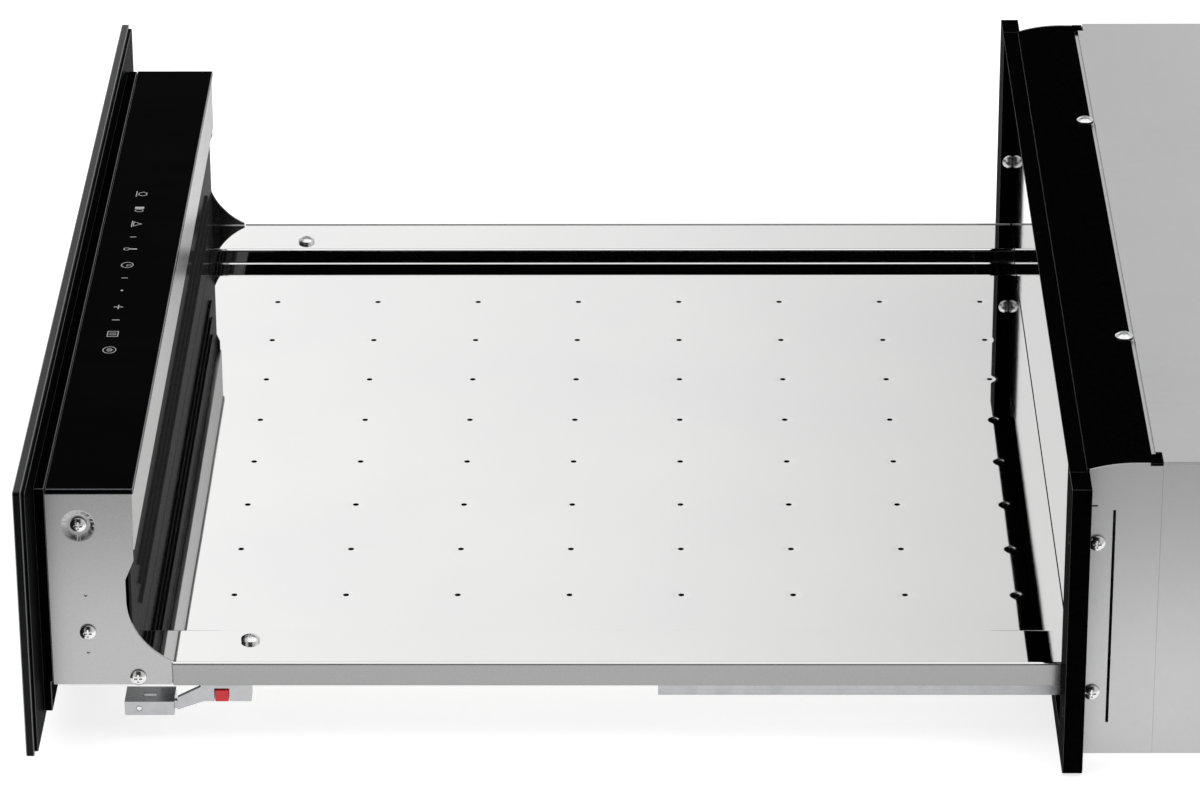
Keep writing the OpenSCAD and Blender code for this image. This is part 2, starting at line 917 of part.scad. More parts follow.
module rear_wall() {
    y = rear_wall_y + floor_t;
    color("#c6c8c9") placed() {
        across(-rail_x, rail_x) {
            translate([rear_wall_y, side_z]) square([floor_t, rear_wall_z - side_z]);
            translate([rear_wall_y, rear_wall_z - floor_t]) square([rear_hem, floor_t]);
            translate([rear_wall_y, side_z]) square([rear_foot, floor_t]);
        }
        both_sides() {
            block([rail_x - floor_t, rear_wall_y, side_z], [rail_x, y + rear_foot - floor_t, rear_wall_z]);
        }
    }
}

// Runner profiles, right side
module drawer_slide() {
    x = runner_w / 2;
    color("#aeb2b5") placed() translate([runner_x, 0, 0]) {
        along(strip_y + slide_front_gap, rear_wall_y - slide_back_gap) {
            translate([-x, slide_web_z]) square([runner_w, runner_t]);
            for (left = [-x, x - runner_t]) {
                translate([left, side_z - slide_flange]) square([runner_t, slide_flange]);
            }
        }
    }
}

module middle_rail() {
    x = runner_w / 2 + middle_out;
    low = middle_web_z - middle_lip_down;
    high = middle_web_top + middle_lip_up;
    color("#b4b8bb") placed() translate([runner_x, 0, 0]) {
        along(middle_front_y, middle_front_y + middle_l) {
            translate([-x, middle_web_z]) square([2 * x, runner_t]);
            for (left = [-x, x - runner_t]) {
                translate([left, low]) square([runner_t, high - low]);
            }
        }
    }
}

module cabinet_rail() {
    x = runner_w / 2 + middle_out + cabinet_rail_gap;
    top = cabinet_web_top + cabinet_rail_lip;
    window_z = (base_top_z + cabinet_web_z) / 2;
    pitch = cabinet_rail_l / rail_window_count;
    color("#9fa3a6") placed() translate([runner_x, 0, 0]) difference() {
        along(cabinet_rail_front_y, cabinet_rail_front_y + cabinet_rail_l) {
            translate([-x, cabinet_web_z]) square([2 * x, runner_t]);
            for (left = [-x - runner_t, x]) {
                translate([left, base_top_z]) square([runner_t, top - base_top_z]);
            }
        }
        for (i = [0 : rail_window_count - 1]) {
            y = cabinet_rail_front_y + cabinet_rail_l / 2 + centred(i, rail_window_count) * pitch;
            block([-x - runner_t - over, y - rail_window_l / 2, base_top_z - over],
                  [x + runner_t + over, y + rail_window_l / 2, window_z]);
        }
    }
}

// Two rows of balls in a flat cage
module ball_cage(y, z) {
    x = runner_w / 2 - runner_t - fit;
    l = (ball_count - 1) * cage_pitch + 2 * (ball_r + cage_end);
    color("#d8dadb") placed() translate([runner_x, y, z]) {
        difference() {
            block([-x, 0, -cage_t / 2], [x, l, cage_t / 2]);
            for (i = [0 : ball_count - 1]) {
                for (side = [-1, 1]) {
                    translate([side * ball_row_x, ball_r + cage_end + i * cage_pitch, -cage_t]) {
                        cylinder(r = ball_r + ball_gap, h = 2 * cage_t);
                    }
                }
            }
        }
        for (i = [0 : ball_count - 1]) {
            for (side = [-1, 1]) {
                translate([side * ball_row_x, ball_r + cage_end + i * cage_pitch, 0]) sphere(ball_r);
            }
        }
    }
}

module drawer_slide_right() {
    drawer_slide();
}

module drawer_slide_left() {
    mirror([1, 0, 0]) drawer_slide();
}

module middle_rail_right() {
    middle_rail();
}

module middle_rail_left() {
    mirror([1, 0, 0]) middle_rail();
}

module cabinet_rail_right() {
    cabinet_rail();
}

module cabinet_rail_left() {
    mirror([1, 0, 0]) cabinet_rail();
}

module upper_balls_right() {
    ball_cage(middle_front_y + upper_cage_gap, upper_ball_z);
}

module upper_balls_left() {
    mirror([1, 0, 0]) ball_cage(middle_front_y + upper_cage_gap, upper_ball_z);
}

module lower_balls_right() {
    ball_cage(cabinet_rail_front_y + lower_cage_gap, lower_ball_z);
}

module lower_balls_left() {
    mirror([1, 0, 0]) ball_cage(cabinet_rail_front_y + lower_cage_gap, lower_ball_z);
}

// Clip that locks the drawer on its runner, with a pocket for the release button
module locking_clip() {
    inner = clip_out_x - clip_plate_w;
    block_x = clip_out_x - clip_block_w;
    low = floor_z - clip_low;
    shelf = floor_z - clip_shelf;
    block_z = floor_z - clip_block_low;
    plate_end = clip_front_y + clip_plate_l;
    block_y = clip_front_y + clip_block_gap;
    lever_y = plate_end + lever_gap;
    mid_y = clip_front_y + clip_plate_l / 2;
    color("#8f9396") placed() difference() {
        union() {
            difference() {
                block([inner, clip_front_y, low], [clip_out_x, plate_end, shelf]);
                block([inner + clip_t, clip_front_y + clip_t, low - over],
                      [clip_out_x - clip_t, plate_end - clip_t, shelf - clip_t]);
            }
            across(clip_out_x - lever_t, clip_out_x) {
                polygon([[lever_y, low + lever_low_rise], [lever_y, shelf + lever_top_rise],
                         [block_y + clip_t, side_z - clip_t], [block_y + clip_t, block_z]]);
            }
            block([clip_out_x - lever_t - clip_t, plate_end - clip_t, low + lever_low_rise],
                  [clip_out_x - clip_t, lever_y + clip_t, shelf]);
            block([block_x, block_y, block_z], [clip_out_x, clip_front_y + clip_arm_l, side_z]);
        }
        block([block_x + clip_t, button_y - fit, block_z - over],
              [clip_out_x + over, button_y + button_l + fit, floor_z - button_high + fit]);
        block([inner + clip_plate_w / 2 - clip_slot_w / 2, mid_y - clip_slot_l / 2, shelf - clip_t - over],
              [inner + clip_plate_w / 2 + clip_slot_w / 2, mid_y + clip_slot_l / 2, shelf + over]);
        translate([clip_out_x - clip_t - over, clip_front_y + clip_rivet_y, (low + shelf) / 2]) {
            rotate([0, 90, 0]) cylinder(r = clip_rivet_r, h = clip_t + 2 * over);
        }
    }
}

module locking_clip_right() {
    locking_clip();
}

module locking_clip_left() {
    mirror([1, 0, 0]) locking_clip();
}

module release_button() {
    x0 = clip_out_x - clip_block_w + clip_t + button_inner_gap;
    color("#d01f2b") placed() {
        block([x0, button_y, floor_z - button_low],
              [clip_out_x + button_proud, button_y + button_l, floor_z - button_high]);
    }
}

module release_button_right() {
    release_button();
}

module release_button_left() {
    mirror([1, 0, 0]) release_button();
}

module drawer_screws() {
    color("#8d8f92") placed() both_sides() {
        translate([ledge_screw_x, ledge_screw_y, ledge_z]) screw(large_head_r, large_head_h);
        on_side(housing_x - dish_depth, housing_y + dish_y, housing_z - dish_drop) screw();
        for (s = plate_screws) {
            on_side(housing_x, housing_y + s[0], floor_z + s[1]) screw();
        }
    }
}

// Outline of the front frame in X and Z, drawn in by an inset
module frame_outline(inset, top) {
    x = frame_x - inset;
    gap_x = post_x + inset;
    difference() {
        intersection() {
            translate([-x, inset]) round_rect(2 * x, frame_h + frame_corner, frame_corner - inset);
            translate([-x, inset]) square([2 * x, top - inset]);
        }
        translate([-gap_x, bar_h - inset]) square([2 * gap_x, frame_h]);
    }
}

module front_frame() {
    color("#131416") placed() difference() {
        along(frame_y, frame_back_y) frame_outline(0, frame_h);
        along(frame_y + frame_t, frame_back_y + over) {
            frame_outline(frame_t, frame_h - trim_t - frame_t);
        }
        block([-cabinet_x, frame_y - over, frame_h - trim_t],
              [cabinet_x, frame_back_y + over, frame_h + over]);
        both_sides() {
            for (z = [mount_low_z, mount_high_z]) {
                bar_y(mount_x, frame_y - over, frame_y + frame_t + over, z, mount_hole_r);
            }
            bar_x(post_x - over, post_x + frame_t + over, frame_y + post_screw_y,
                  post_screw_z, shank_r + screw_play);
        }
    }
}

// Section of the trim in Y and Z behind the frame: a small lip, then a long curve up to the roof
module trim_section() {
    translate([frame_back_y - trim_t, frame_h - trim_t]) square([trim_t, trim_t + trim_lip]);
    intersection() {
        translate([trim_turn_y, trim_centre_z]) difference() {
            circle(trim_r, $fn = trim_facets);
            circle(trim_r - trim_t, $fn = trim_facets);
        }
        translate([frame_back_y, frame_h - 2 * trim_t]) square([trim_run, trim_rise + 2 * trim_t]);
    }
    translate([trim_turn_y, trim_under_z]) square([trim_flat, trim_t]);
}

module trim_screw_places() {
    for (side = [-1, 1]) {
        translate([side * cabinet_x * trim_screw_share, trim_turn_y + trim_screw_y, trim_top_z]) children();
    }
}

module top_trim() {
    color("#131416") placed() difference() {
        union() {
            block([-cabinet_x, frame_y, frame_h - trim_t], [cabinet_x, frame_back_y, frame_h]);
            across(-trim_x, trim_x) trim_section();
            both_sides() block([cabinet_x - ear_w, ear_y, trim_under_z],
                               [cabinet_x, trim_end_y + ear_d, trim_top_z]);
        }
        trim_screw_places() screw_hole();
    }
}

// Outline in Y and Z, flush with the trim's curve and lower under its ear
module bracket_outline() {
    end = bracket_end_y - seam;
    translate([frame_back_y, base_z]) square([end - frame_back_y, frame_h + trim_lip - base_z]);
    intersection() {
        translate([trim_turn_y, trim_centre_z]) circle(trim_r, $fn = trim_facets);
        translate([frame_back_y, trim_centre_z]) square([trim_run, trim_r]);
    }
    translate([trim_turn_y, base_z]) square([ear_y - fit - trim_turn_y, trim_top_z - base_z]);
    translate([trim_turn_y, base_z]) square([end - trim_turn_y, trim_under_z - base_z]);
}

module bracket_screw_places() {
    for (z = [frame_h - bracket_screw_top_gap, bracket_screw_low_z]) {
        on_side(cabinet_x, frame_back_y + bracket_screw_y, z) children();
    }
}

module front_bracket() {
    end = bracket_end_y - seam;
    lap_z = base_top_z + bracket_lap;
    lap_top = trim_under_z - casing_t - bracket_lap / 2;
    color("#a9acae") placed() difference() {
        union() {
            across(casing_x, cabinet_x) bracket_outline();
            block([casing_x - bracket_fold, frame_back_y, base_top_z + casing_t],
                  [casing_x, frame_back_y + casing_t, frame_h - bracket_fold]);
            block([casing_x - casing_t, end - bracket_lap / 2, lap_z],
                  [casing_x, end + bracket_lap, lap_top]);
        }
        block([casing_x - over, frame_back_y + slot_y, slot_low_z],
              [cabinet_x + over, frame_back_y + slot_y + slot_w, frame_h - slot_top_gap]);
        block([casing_x - over, frame_back_y + casing_t, frame_h - notch_top_gap],
              [cabinet_x + over, frame_back_y + casing_t + notch_l, frame_h - notch_top_gap + notch_h]);
        bracket_screw_places() screw_hole();
    }
}

module front_bracket_right() {
    front_bracket();
}

module front_bracket_left() {
    mirror([1, 0, 0]) front_bracket();
}

module casing_side() {
    low = base_top_z;
    top = roof_z - casing_t;
    color("#adb0b2") placed() {
        block([casing_x, bracket_end_y, base_z], [cabinet_x, back_y, top]);
        block([casing_x - casing_fold, casing_fold_y, low], [casing_x, back_y, low + casing_t]);
        block([casing_x - casing_fold, casing_fold_y, top - casing_t], [casing_x, back_y, top]);
    }
}

module casing_right() {
    casing_side();
}

module casing_left() {
    mirror([1, 0, 0]) casing_side();
}

module casing_top() {
    low = trim_under_z - casing_t;
    tongue_x = cabinet_x - ear_w - fit;
    color("#bfc1c3") placed() difference() {
        union() {
            block([-cabinet_x, bracket_end_y, roof_z - casing_t], [cabinet_x, back_y, roof_z]);
            block([-tongue_x, roof_front_y, roof_z - casing_t], [tongue_x, bracket_end_y + over, roof_z]);
            block([-tongue_x, roof_front_y, low], [tongue_x, roof_front_y + casing_t, roof_z]);
            block([-trim_x, roof_tab_y, low], [trim_x, roof_front_y + casing_t, trim_under_z]);
        }
        trim_screw_places() screw_hole();
    }
}

foot_places = [for (side = [-1, 1], y = [frame_back_y + foot_front_gap, back_y - foot_back_gap])
               [side * cabinet_x * foot_share, y]];

module casing_base() {
    fold_x = post_x - fit;
    color("#a4a7a9") placed() {
        difference() {
            union() {
                block([-casing_x, frame_back_y, base_z], [casing_x, back_y, base_top_z]);
                block([-fold_x, frame_back_y, base_z], [fold_x, frame_back_y + casing_t,
                                                        base_top_z + base_fold]);
            }
            for (p = foot_places) {
                translate([p[0], p[1], base_z - over]) cylinder(r = foot_r - casing_t, h = foot_h + over);
            }
        }
        for (p = foot_places) {
            translate([p[0], p[1], 0]) difference() {
                cylinder(r = foot_r, h = base_z);
                translate([0, 0, casing_t]) cylinder(r = foot_r - casing_t, h = foot_h);
            }
        }
    }
}

module casing_back() {
    color("#a4a7a9") placed() difference() {
        block([-cabinet_x, back_y, base_z], [cabinet_x, total_l, roof_z]);
        for (i = [0 : vent_count - 1]) {
            x = centred(i, vent_count) * vent_pitch;
            block([x - vent_w / 2, back_y - over, fan_z - vent_h / 2],
                  [x + vent_w / 2, total_l + over, fan_z + vent_h / 2]);
        }
        bar_y(gland_x, back_y - over, total_l + over, gland_z, gland_r + screw_play);
    }
}

// Rear panel of the heated space, with the fan's inlet grille and outlet slots
module rear_baffle() {
    side_x = casing_x - fit;
    foot_x = casing_x - 2 * casing_fold;
    low = base_top_z + casing_t + fit;
    top = roof_z - 2 * casing_t - baffle_top_gap;
    color("#b9bbbd") placed() difference() {
        union() {
            block([-side_x, baffle_y, low], [side_x, baffle_back_y, top]);
            block([-foot_x, baffle_y, base_top_z], [foot_x, baffle_back_y, low]);
            block([-foot_x, baffle_y, base_top_z], [foot_x, baffle_back_y + baffle_fold,
                                                    base_top_z + baffle_t]);
        }
        for (ring = [1 : grille_rings]) {
            for (k = [0 : ring * grille_step_count - 1]) {
                a = k * 360 / (ring * grille_step_count);
                r = ring * grille_pitch;
                bar_y(r * cos(a), baffle_y - over, baffle_back_y + over, fan_z + r * sin(a),
                      grille_hole_r);
            }
        }
        both_sides() for (i = [0 : outlet_count - 1]) {
            x = cabinet_x * outlet_share;
            z = fan_z + centred(i, outlet_count) * outlet_pitch - outlet_h / 2;
            block([x - outlet_w / 2, baffle_y - over, z],
                  [x + outlet_w / 2, baffle_back_y + over, z + outlet_h]);
        }
    }
}

module motor_bracket() {
    color("#8f9396") placed() {
        difference() {
            block([-motor_plate_x, bracket_y, fan_z - motor_plate_h / 2],
                  [motor_plate_x, motor_y, fan_z + motor_plate_h / 2]);
            bar_y(0, bracket_y - over, motor_y + over, fan_z, motor_plate_hole_r);
        }
        for (x = [-leg_x, leg_x]) {
            for (z = [-leg_z, leg_z]) bar_y(x, baffle_back_y, bracket_y + over / 2, fan_z + z, leg_r);
        }
    }
}

// Shaded pole motor: laminated stack, coil, and a bearing bridge on each face
module fan_motor() {
    bore = shaft_r + shaft_fit;
    color("#6f6a62") placed() difference() {
        union() {
            difference() {
                block([-stack_x, stack_y, fan_z - stack_down], [stack_x, stack_back_y, fan_z + stack_up]);
                bar_y(0, stack_y - over, stack_back_y + over, fan_z, stack_bore_r);
            }
            block([-coil_x, stack_y - coil_proud + bearing_t, fan_z - stack_down - coil_h],
                  [coil_x, stack_back_y + coil_proud - bearing_t, fan_z - stack_down]);
            for (y = [motor_y, stack_back_y]) {
                block([-hub_r, y, fan_z - stack_down], [hub_r, y + bearing_t, fan_z + stack_up]);
            }
        }
        bar_y(0, motor_y - over, stack_back_y + bearing_t + over, fan_z, bore);
    }
}

module terminal_block() {
    y0 = baffle_back_y + terminal_y;
    color("#dcdad2") placed() difference() {
        block([terminal_x, y0, base_top_z], [terminal_x + terminal_w, y0 + terminal_d,
                                             base_top_z + terminal_h]);
        for (i = [0 : terminal_ways - 1]) {
            x = terminal_x + terminal_w / 2 + centred(i, terminal_ways) * terminal_w / terminal_ways;
            bar_y(x, y0 - over, y0 + terminal_d + over, base_top_z + terminal_way_z, terminal_way_r);
            translate([x, y0 + terminal_d / 2, base_top_z + terminal_h / 2]) {
                cylinder(r = terminal_way_r, h = terminal_h);
            }
        }
    }
}

module cord_gland() {
    color("#202123") placed() difference() {
        union() {
            bar_y(gland_x, total_l - gland_l, total_l, gland_z, gland_r);
            bar_y(gland_x, back_y - gland_flange_t, back_y, gland_z, gland_flange_r);
        }
        bar_y(gland_x, total_l - gland_l - over, total_l + over, gland_z, gland_bore_r);
    }
}

module power_board() {
    y0 = baffle_back_y + power_y;
    z = base_top_z + power_post_h;
    x0 = power_x - power_w / 2;
    color("#2b6f49") placed() {
        block([x0, y0, z], [x0 + power_w, y0 + power_d, z + board_t]);
        for (x = [x0 + power_post_inset, x0 + power_w - power_post_inset]) {
            for (y = [y0 + baffle_fold - power_y + power_post_r, y0 + power_d - power_post_inset]) {
                translate([x, y, base_top_z]) cylinder(r = power_post_r, h = power_post_h + over / 2);
            }
        }
        for (i = [0 : relay_count - 1]) {
            x = x0 + power_post_inset * 2 + i * relay_pitch;
            block([x, y0 + power_post_inset, z + board_t],
                  [x + relay_w, y0 + power_post_inset + relay_d, z + board_t + relay_h]);
        }
        translate([x0 + power_w - power_post_inset * 2, y0 + power_d / 2, z + board_t]) {
            cylinder(r = choke_r, h = choke_h);
        }
    }
}

module safety_thermostat() {
    color("#cfcabb") placed() {
        bar_y(limit_x, baffle_back_y, baffle_back_y + limit_h, limit_z, limit_r);
        for (side = [-1, 1]) {
            block([limit_x + side * limit_r / 2 - thermo_tab_w / 2, baffle_back_y + limit_h - over,
                   limit_z - thermo_tab_t / 2],
                  [limit_x + side * limit_r / 2 + thermo_tab_w / 2,
                   baffle_back_y + limit_h + thermo_tab_l, limit_z + thermo_tab_t / 2]);
        }
    }
}

module cabinet_screws() {
    color("#8d8f92") placed() {
        trim_screw_places() screw(large_head_r, large_head_h);
        both_sides() {
            bracket_screw_places() screw();
            translate([post_x, frame_y + post_screw_y, post_screw_z]) {
                rotate([0, -90, 0]) screw();
            }
        }
    }
}

// Fan wheel with forward bent blades between a back plate and a front ring
module fan_wheel() {
    ring_in = wheel_r - blade_l;
    color("#a3a6a8") placed() {
        difference() {
            union() {
                bar_y(0, wheel_back_y - wheel_plate_t, wheel_back_y, fan_z, wheel_r);
                bar_y(0, wheel_y + wheel_plate_t, wheel_back_y, fan_z, hub_r);
            }
            bar_y(0, wheel_y - over, wheel_back_y + over, fan_z, shaft_r);
        }
        difference() {
            bar_y(0, wheel_y, wheel_y + wheel_plate_t, fan_z, wheel_r);
            bar_y(0, wheel_y - over, wheel_y + wheel_plate_t + over, fan_z, ring_in + blade_l / 2);
        }
        for (i = [0 : blade_count - 1]) {
            translate([0, 0, fan_z]) rotate([0, i * 360 / blade_count, 0]) {
                translate([ring_in, wheel_y, 0]) rotate([0, blade_tilt, 0]) {
                    block([0, wheel_plate_t / 2, -blade_t / 2],
                          [blade_l * cos(blade_tilt), wheel_d - wheel_plate_t / 2, blade_t / 2]);
                }
            }
        }
    }
}

module motor_shaft() {
    back = stack_back_y + bearing_t + shaft_back;
    core_y = (stack_y + stack_back_y - rotor_core_l) / 2;
    color("#c9cbcd") placed() {
        bar_y(0, wheel_y + shaft_front, back, fan_z, shaft_r);
        bar_y(0, core_y, core_y + rotor_core_l, fan_z, rotor_core_r);
    }
}

front_glass();
glass_backing();
front_spacer();
control_glass();
control_carrier();
control_board();
housing_strip();
louvre_panel();
housing_base();
side_plate_left();
side_plate_right();
floor_plate();
base_pan();
insulation_pad();
heating_element();
floor_thermostat();
side_rail_left();
side_rail_right();
rear_wall();
drawer_slide_left();
drawer_slide_right();
locking_clip_left();
locking_clip_right();
drawer_screws();
release_button_left();
release_button_right();
middle_rail_left();
middle_rail_right();
upper_balls_left();
upper_balls_right();
lower_balls_left();
lower_balls_right();
front_frame();
top_trim();
front_bracket_left();
front_bracket_right();
casing_left();
casing_right();
casing_top();
casing_base();
casing_back();
cabinet_rail_left();
cabinet_rail_right();
rear_baffle();
motor_bracket();
fan_motor();
terminal_block();
cord_gland();
power_board();
safety_thermostat();
cabinet_screws();
fan_wheel();
motor_shaft();
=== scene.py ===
import json
import math

import bpy
from mathutils import Matrix, Vector


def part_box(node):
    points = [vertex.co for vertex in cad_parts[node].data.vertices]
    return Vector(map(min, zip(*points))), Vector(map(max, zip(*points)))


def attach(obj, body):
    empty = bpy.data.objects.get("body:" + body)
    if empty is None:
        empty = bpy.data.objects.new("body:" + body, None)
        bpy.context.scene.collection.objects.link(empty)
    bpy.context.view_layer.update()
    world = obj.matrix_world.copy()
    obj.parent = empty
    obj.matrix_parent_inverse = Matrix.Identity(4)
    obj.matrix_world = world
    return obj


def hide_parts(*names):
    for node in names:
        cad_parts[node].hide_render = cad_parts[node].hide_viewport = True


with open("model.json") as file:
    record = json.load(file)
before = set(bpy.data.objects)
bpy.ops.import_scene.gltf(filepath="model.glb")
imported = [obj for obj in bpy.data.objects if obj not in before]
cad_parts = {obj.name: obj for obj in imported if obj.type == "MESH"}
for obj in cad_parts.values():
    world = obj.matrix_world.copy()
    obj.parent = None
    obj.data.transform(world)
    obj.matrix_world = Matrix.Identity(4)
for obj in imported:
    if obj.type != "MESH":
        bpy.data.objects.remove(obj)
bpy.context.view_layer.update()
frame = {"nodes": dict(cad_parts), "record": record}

MM = 0.001

# Camera: the photograph's own viewpoint, from the right of the open drawer and 25 degrees above it
CAMERA_PLACE = Vector((2.6330, -0.2187, 1.3010))
CAMERA_PITCH = 0.4412
CAMERA_YAW = 0.0113
CAMERA_ROLL = -0.0051
CAMERA_FOCAL_PX = 5609.0
PHOTO_WIDTH_PX = 1200.0
SENSOR_MM = 36.0
SEEN_FROM = 0.05
SEEN_TO = 60.0


def set_camera():
    """Makes the fixed camera and points it as the photograph's camera pointed."""
    data = bpy.data.cameras.new("studio_camera")
    data.sensor_fit = "HORIZONTAL"
    data.sensor_width = SENSOR_MM
    data.lens = SENSOR_MM * CAMERA_FOCAL_PX / PHOTO_WIDTH_PX
    data.clip_start = SEEN_FROM
    data.clip_end = SEEN_TO
    camera = bpy.data.objects.new("studio_camera", data)
    bpy.context.scene.collection.objects.link(camera)
    yaw = Matrix.Rotation(CAMERA_YAW, 3, "Z")
    ahead = yaw @ Vector((-math.cos(CAMERA_PITCH), 0.0, -math.sin(CAMERA_PITCH)))
    level_right = yaw @ Vector((0.0, 1.0, 0.0))
    level_up = level_right.cross(ahead)
    cosine, sine = math.cos(CAMERA_ROLL), math.sin(CAMERA_ROLL)
    right = cosine * level_right + sine * level_up
    up = cosine * level_up - sine * level_right
    matrix = Matrix.Identity(4)
    for column, way in enumerate((right, up, -ahead, CAMERA_PLACE)):
        for row in range(3):
            matrix[row][column] = way[row]
    camera.matrix_world = matrix
    bpy.context.scene.camera = camera


set_camera()


# Shader helpers
def linear(hex_colour):
    """sRGB hex colour as linear red, green, blue and alpha."""
    channels = [int(hex_colour[i:i + 2], 16) / 255.0 for i in (1, 3, 5)]
    return [c / 12.92 if c <= 0.04045 else ((c + 0.055) / 1.055) ** 2.4 for c in channels] + [1.0]


def fill(tree, node, inputs):
    """Sets a node's inputs, or links them to a socket or to the first output of a node."""
    for name, value in inputs.items():
        if isinstance(value, bpy.types.Node):
            value = value.outputs[0]
        if isinstance(value, bpy.types.NodeSocket):
            tree.links.new(value, node.inputs[name])
        else:
            node.inputs[name].default_value = value


def add(tree, kind, inputs=None, stops=(), **settings):
    """Adds one node with its settings, its inputs and, on a colour ramp, its colour stops."""
    node = tree.nodes.new(kind)
    for name, value in settings.items():
        setattr(node, name, value)
    for spare in range(2, len(stops)):
        node.color_ramp.elements.new(0.5)
    for number, (position, colour) in enumerate(stops):
        node.color_ramp.elements[number].position = position
        node.color_ramp.elements[number].color = linear(colour)
    fill(tree, node, inputs or {})
    return node


def start(name):
    """A new material with its tree, its shader and its Object coordinates."""
    material = bpy.data.materials.new(name)
    material.use_nodes = True
    tree = material.node_tree
    tree.nodes.clear()
    shader = add(tree, "ShaderNodeBsdfPrincipled")
    add(tree, "ShaderNodeOutputMaterial", {"Surface": shader})
    place = add(tree, "ShaderNodeTexCoord").outputs["Object"]
    return material, tree, shader, place


# Most of a noise pattern lies between these two values.
NOISE_LOW = 0.3
NOISE_HIGH = 0.7


def tones(dark, light):
    """The colour stops that spread a noise pattern from dark to light."""
    return [(NOISE_LOW, dark), (NOISE_HIGH, light)]


def spread(value, to_low, to_high, low=NOISE_LOW, high=NOISE_HIGH):
    """The inputs that map a value between low and high to one between to_low and to_high."""
    return {"Value": value, "From Min": low, "From Max": high, "To Min": to_low, "To Max": to_high}


def grain(size_mm):
    """The scale that gives a pattern marks of this size in millimetres."""
    return 1.0 / (size_mm * MM)


# Materials. The photograph's blacks show almost no veil of reflected white, so their glare is set far
# below the 0.5 of plain glass.
GLASS_IOR = 1.5
GLASS_GLARE = 0.001
ENAMEL_GLARE = 0.000008


def black_glass(name, glare):
    # Soda lime float glass, enamelled black on its back: deep, even black with a sharp gloss.
    material, tree, shader, place = start(name)
    # wiping marks 24 mm wide and 67 mm long
    drawn = add(tree, "ShaderNodeMapping", {"Vector": place, "Scale": (grain(24), grain(67), grain(24))})
    wiped = add(tree, "ShaderNodeTexNoise", {"Vector": drawn, "Scale": 1.0, "Detail": 3.0})
    fill(tree, shader, {
        "Base Color": add(tree, "ShaderNodeValToRGB", {"Fac": wiped}, tones("#030304", "#060607")),
        "Roughness": add(tree, "ShaderNodeMapRange", spread(wiped, 0.03, 0.07)),
        "IOR": GLASS_IOR,
        "Specular IOR Level": glare,
    })
    return material


def black_enamel(name, glare, dark="#030304", light="#070708"):
    # Stove enamel on sheet steel: gloss black with the faint orange peel of a sprayed coat.
    material, tree, shader, place = start(name)
    peel = add(tree, "ShaderNodeTexNoise", {"Vector": place, "Scale": grain(1.54), "Detail": 1.0})
    fill(tree, shader, {
        "Base Color": add(tree, "ShaderNodeValToRGB", {"Fac": peel}, tones(dark, light)),
        "Roughness": 0.14,
        "IOR": GLASS_IOR,
        "Specular IOR Level": glare,
        "Normal": add(tree, "ShaderNodeBump", {"Height": peel, "Strength": 0.12, "Distance": 0.06 * MM}),
    })
    return material


def black_steel(name):
    # Sheet steel with a satin black powder coat: finely grained, broad soft highlights.
    material, tree, shader, place = start(name)
    powder = add(tree, "ShaderNodeTexNoise", {"Vector": place, "Scale": grain(0.455), "Detail": 2.0})
    fill(tree, shader, {
        "Base Color": add(tree, "ShaderNodeValToRGB", {"Fac": powder}, tones("#070708", "#0d0d0e")),
        "Roughness": 0.42,
        "Specular IOR Level": 0.002,
        "Normal": add(tree, "ShaderNodeBump", {"Height": powder, "Strength": 0.3, "Distance": 0.05 * MM}),
    })
    return material


def highlight_arris(name, dark, light, glare):
    # Narrow rounded edge whose grey base is a painted highlight, with some real glare: a thin, softly
    # shining line.
    material, tree, shader, place = start(name)
    stone = add(tree, "ShaderNodeTexNoise", {"Vector": place, "Scale": grain(0.667), "Detail": 2.0})
    fill(tree, shader, {
        "Base Color": add(tree, "ShaderNodeValToRGB", {"Fac": stone}, tones(dark, light)),
        "Roughness": 0.3,
        "Specular IOR Level": glare,
    })
    return material


def polished_sheet(name, dimples):
    # Bright annealed stainless sheet, its film just peeled: a clear, slightly uneven mirror.
    material, tree, shader, place = start(name)
    haze = add(tree, "ShaderNodeTexNoise", {"Vector": place, "Scale": grain(111), "Detail": 4.0})
    # the sheet's own unevenness, from crest to crest
    waves = add(tree, "ShaderNodeTexNoise", {"Vector": place, "Scale": grain(90.9), "Detail": 0.0})
    bump = add(tree, "ShaderNodeBump", {"Height": waves, "Strength": 1.0, "Distance": 0.12 * MM})
    if dimples:
        bump = add(tree, "ShaderNodeBump", {"Height": dimple_height(tree, place), "Strength": 1.0,
                                            "Distance": 1.0, "Normal": bump})
    fill(tree, shader, {
        "Base Color": add(tree, "ShaderNodeValToRGB", {"Fac": haze}, tones("#ebebeb", "#efefee")),
        "Roughness": add(tree, "ShaderNodeMapRange", spread(haze, 0.012, 0.03)),
        "Metallic": 1.0,
        "Normal": bump,
    })
    return material


# The grid of holes in the drawer floor, whose punched edges draw the sheet down a little
HOLE_PITCH = (50.1429 * MM, 55.0714 * MM)
HOLE_FIRST = (-175.5 * MM, -427.2 * MM)
DIMPLE_REACH = 5.5 * MM
DIMPLE_DEPTH = 0.05 * MM
GRID_HALF_WIDTH = 190.0 * MM


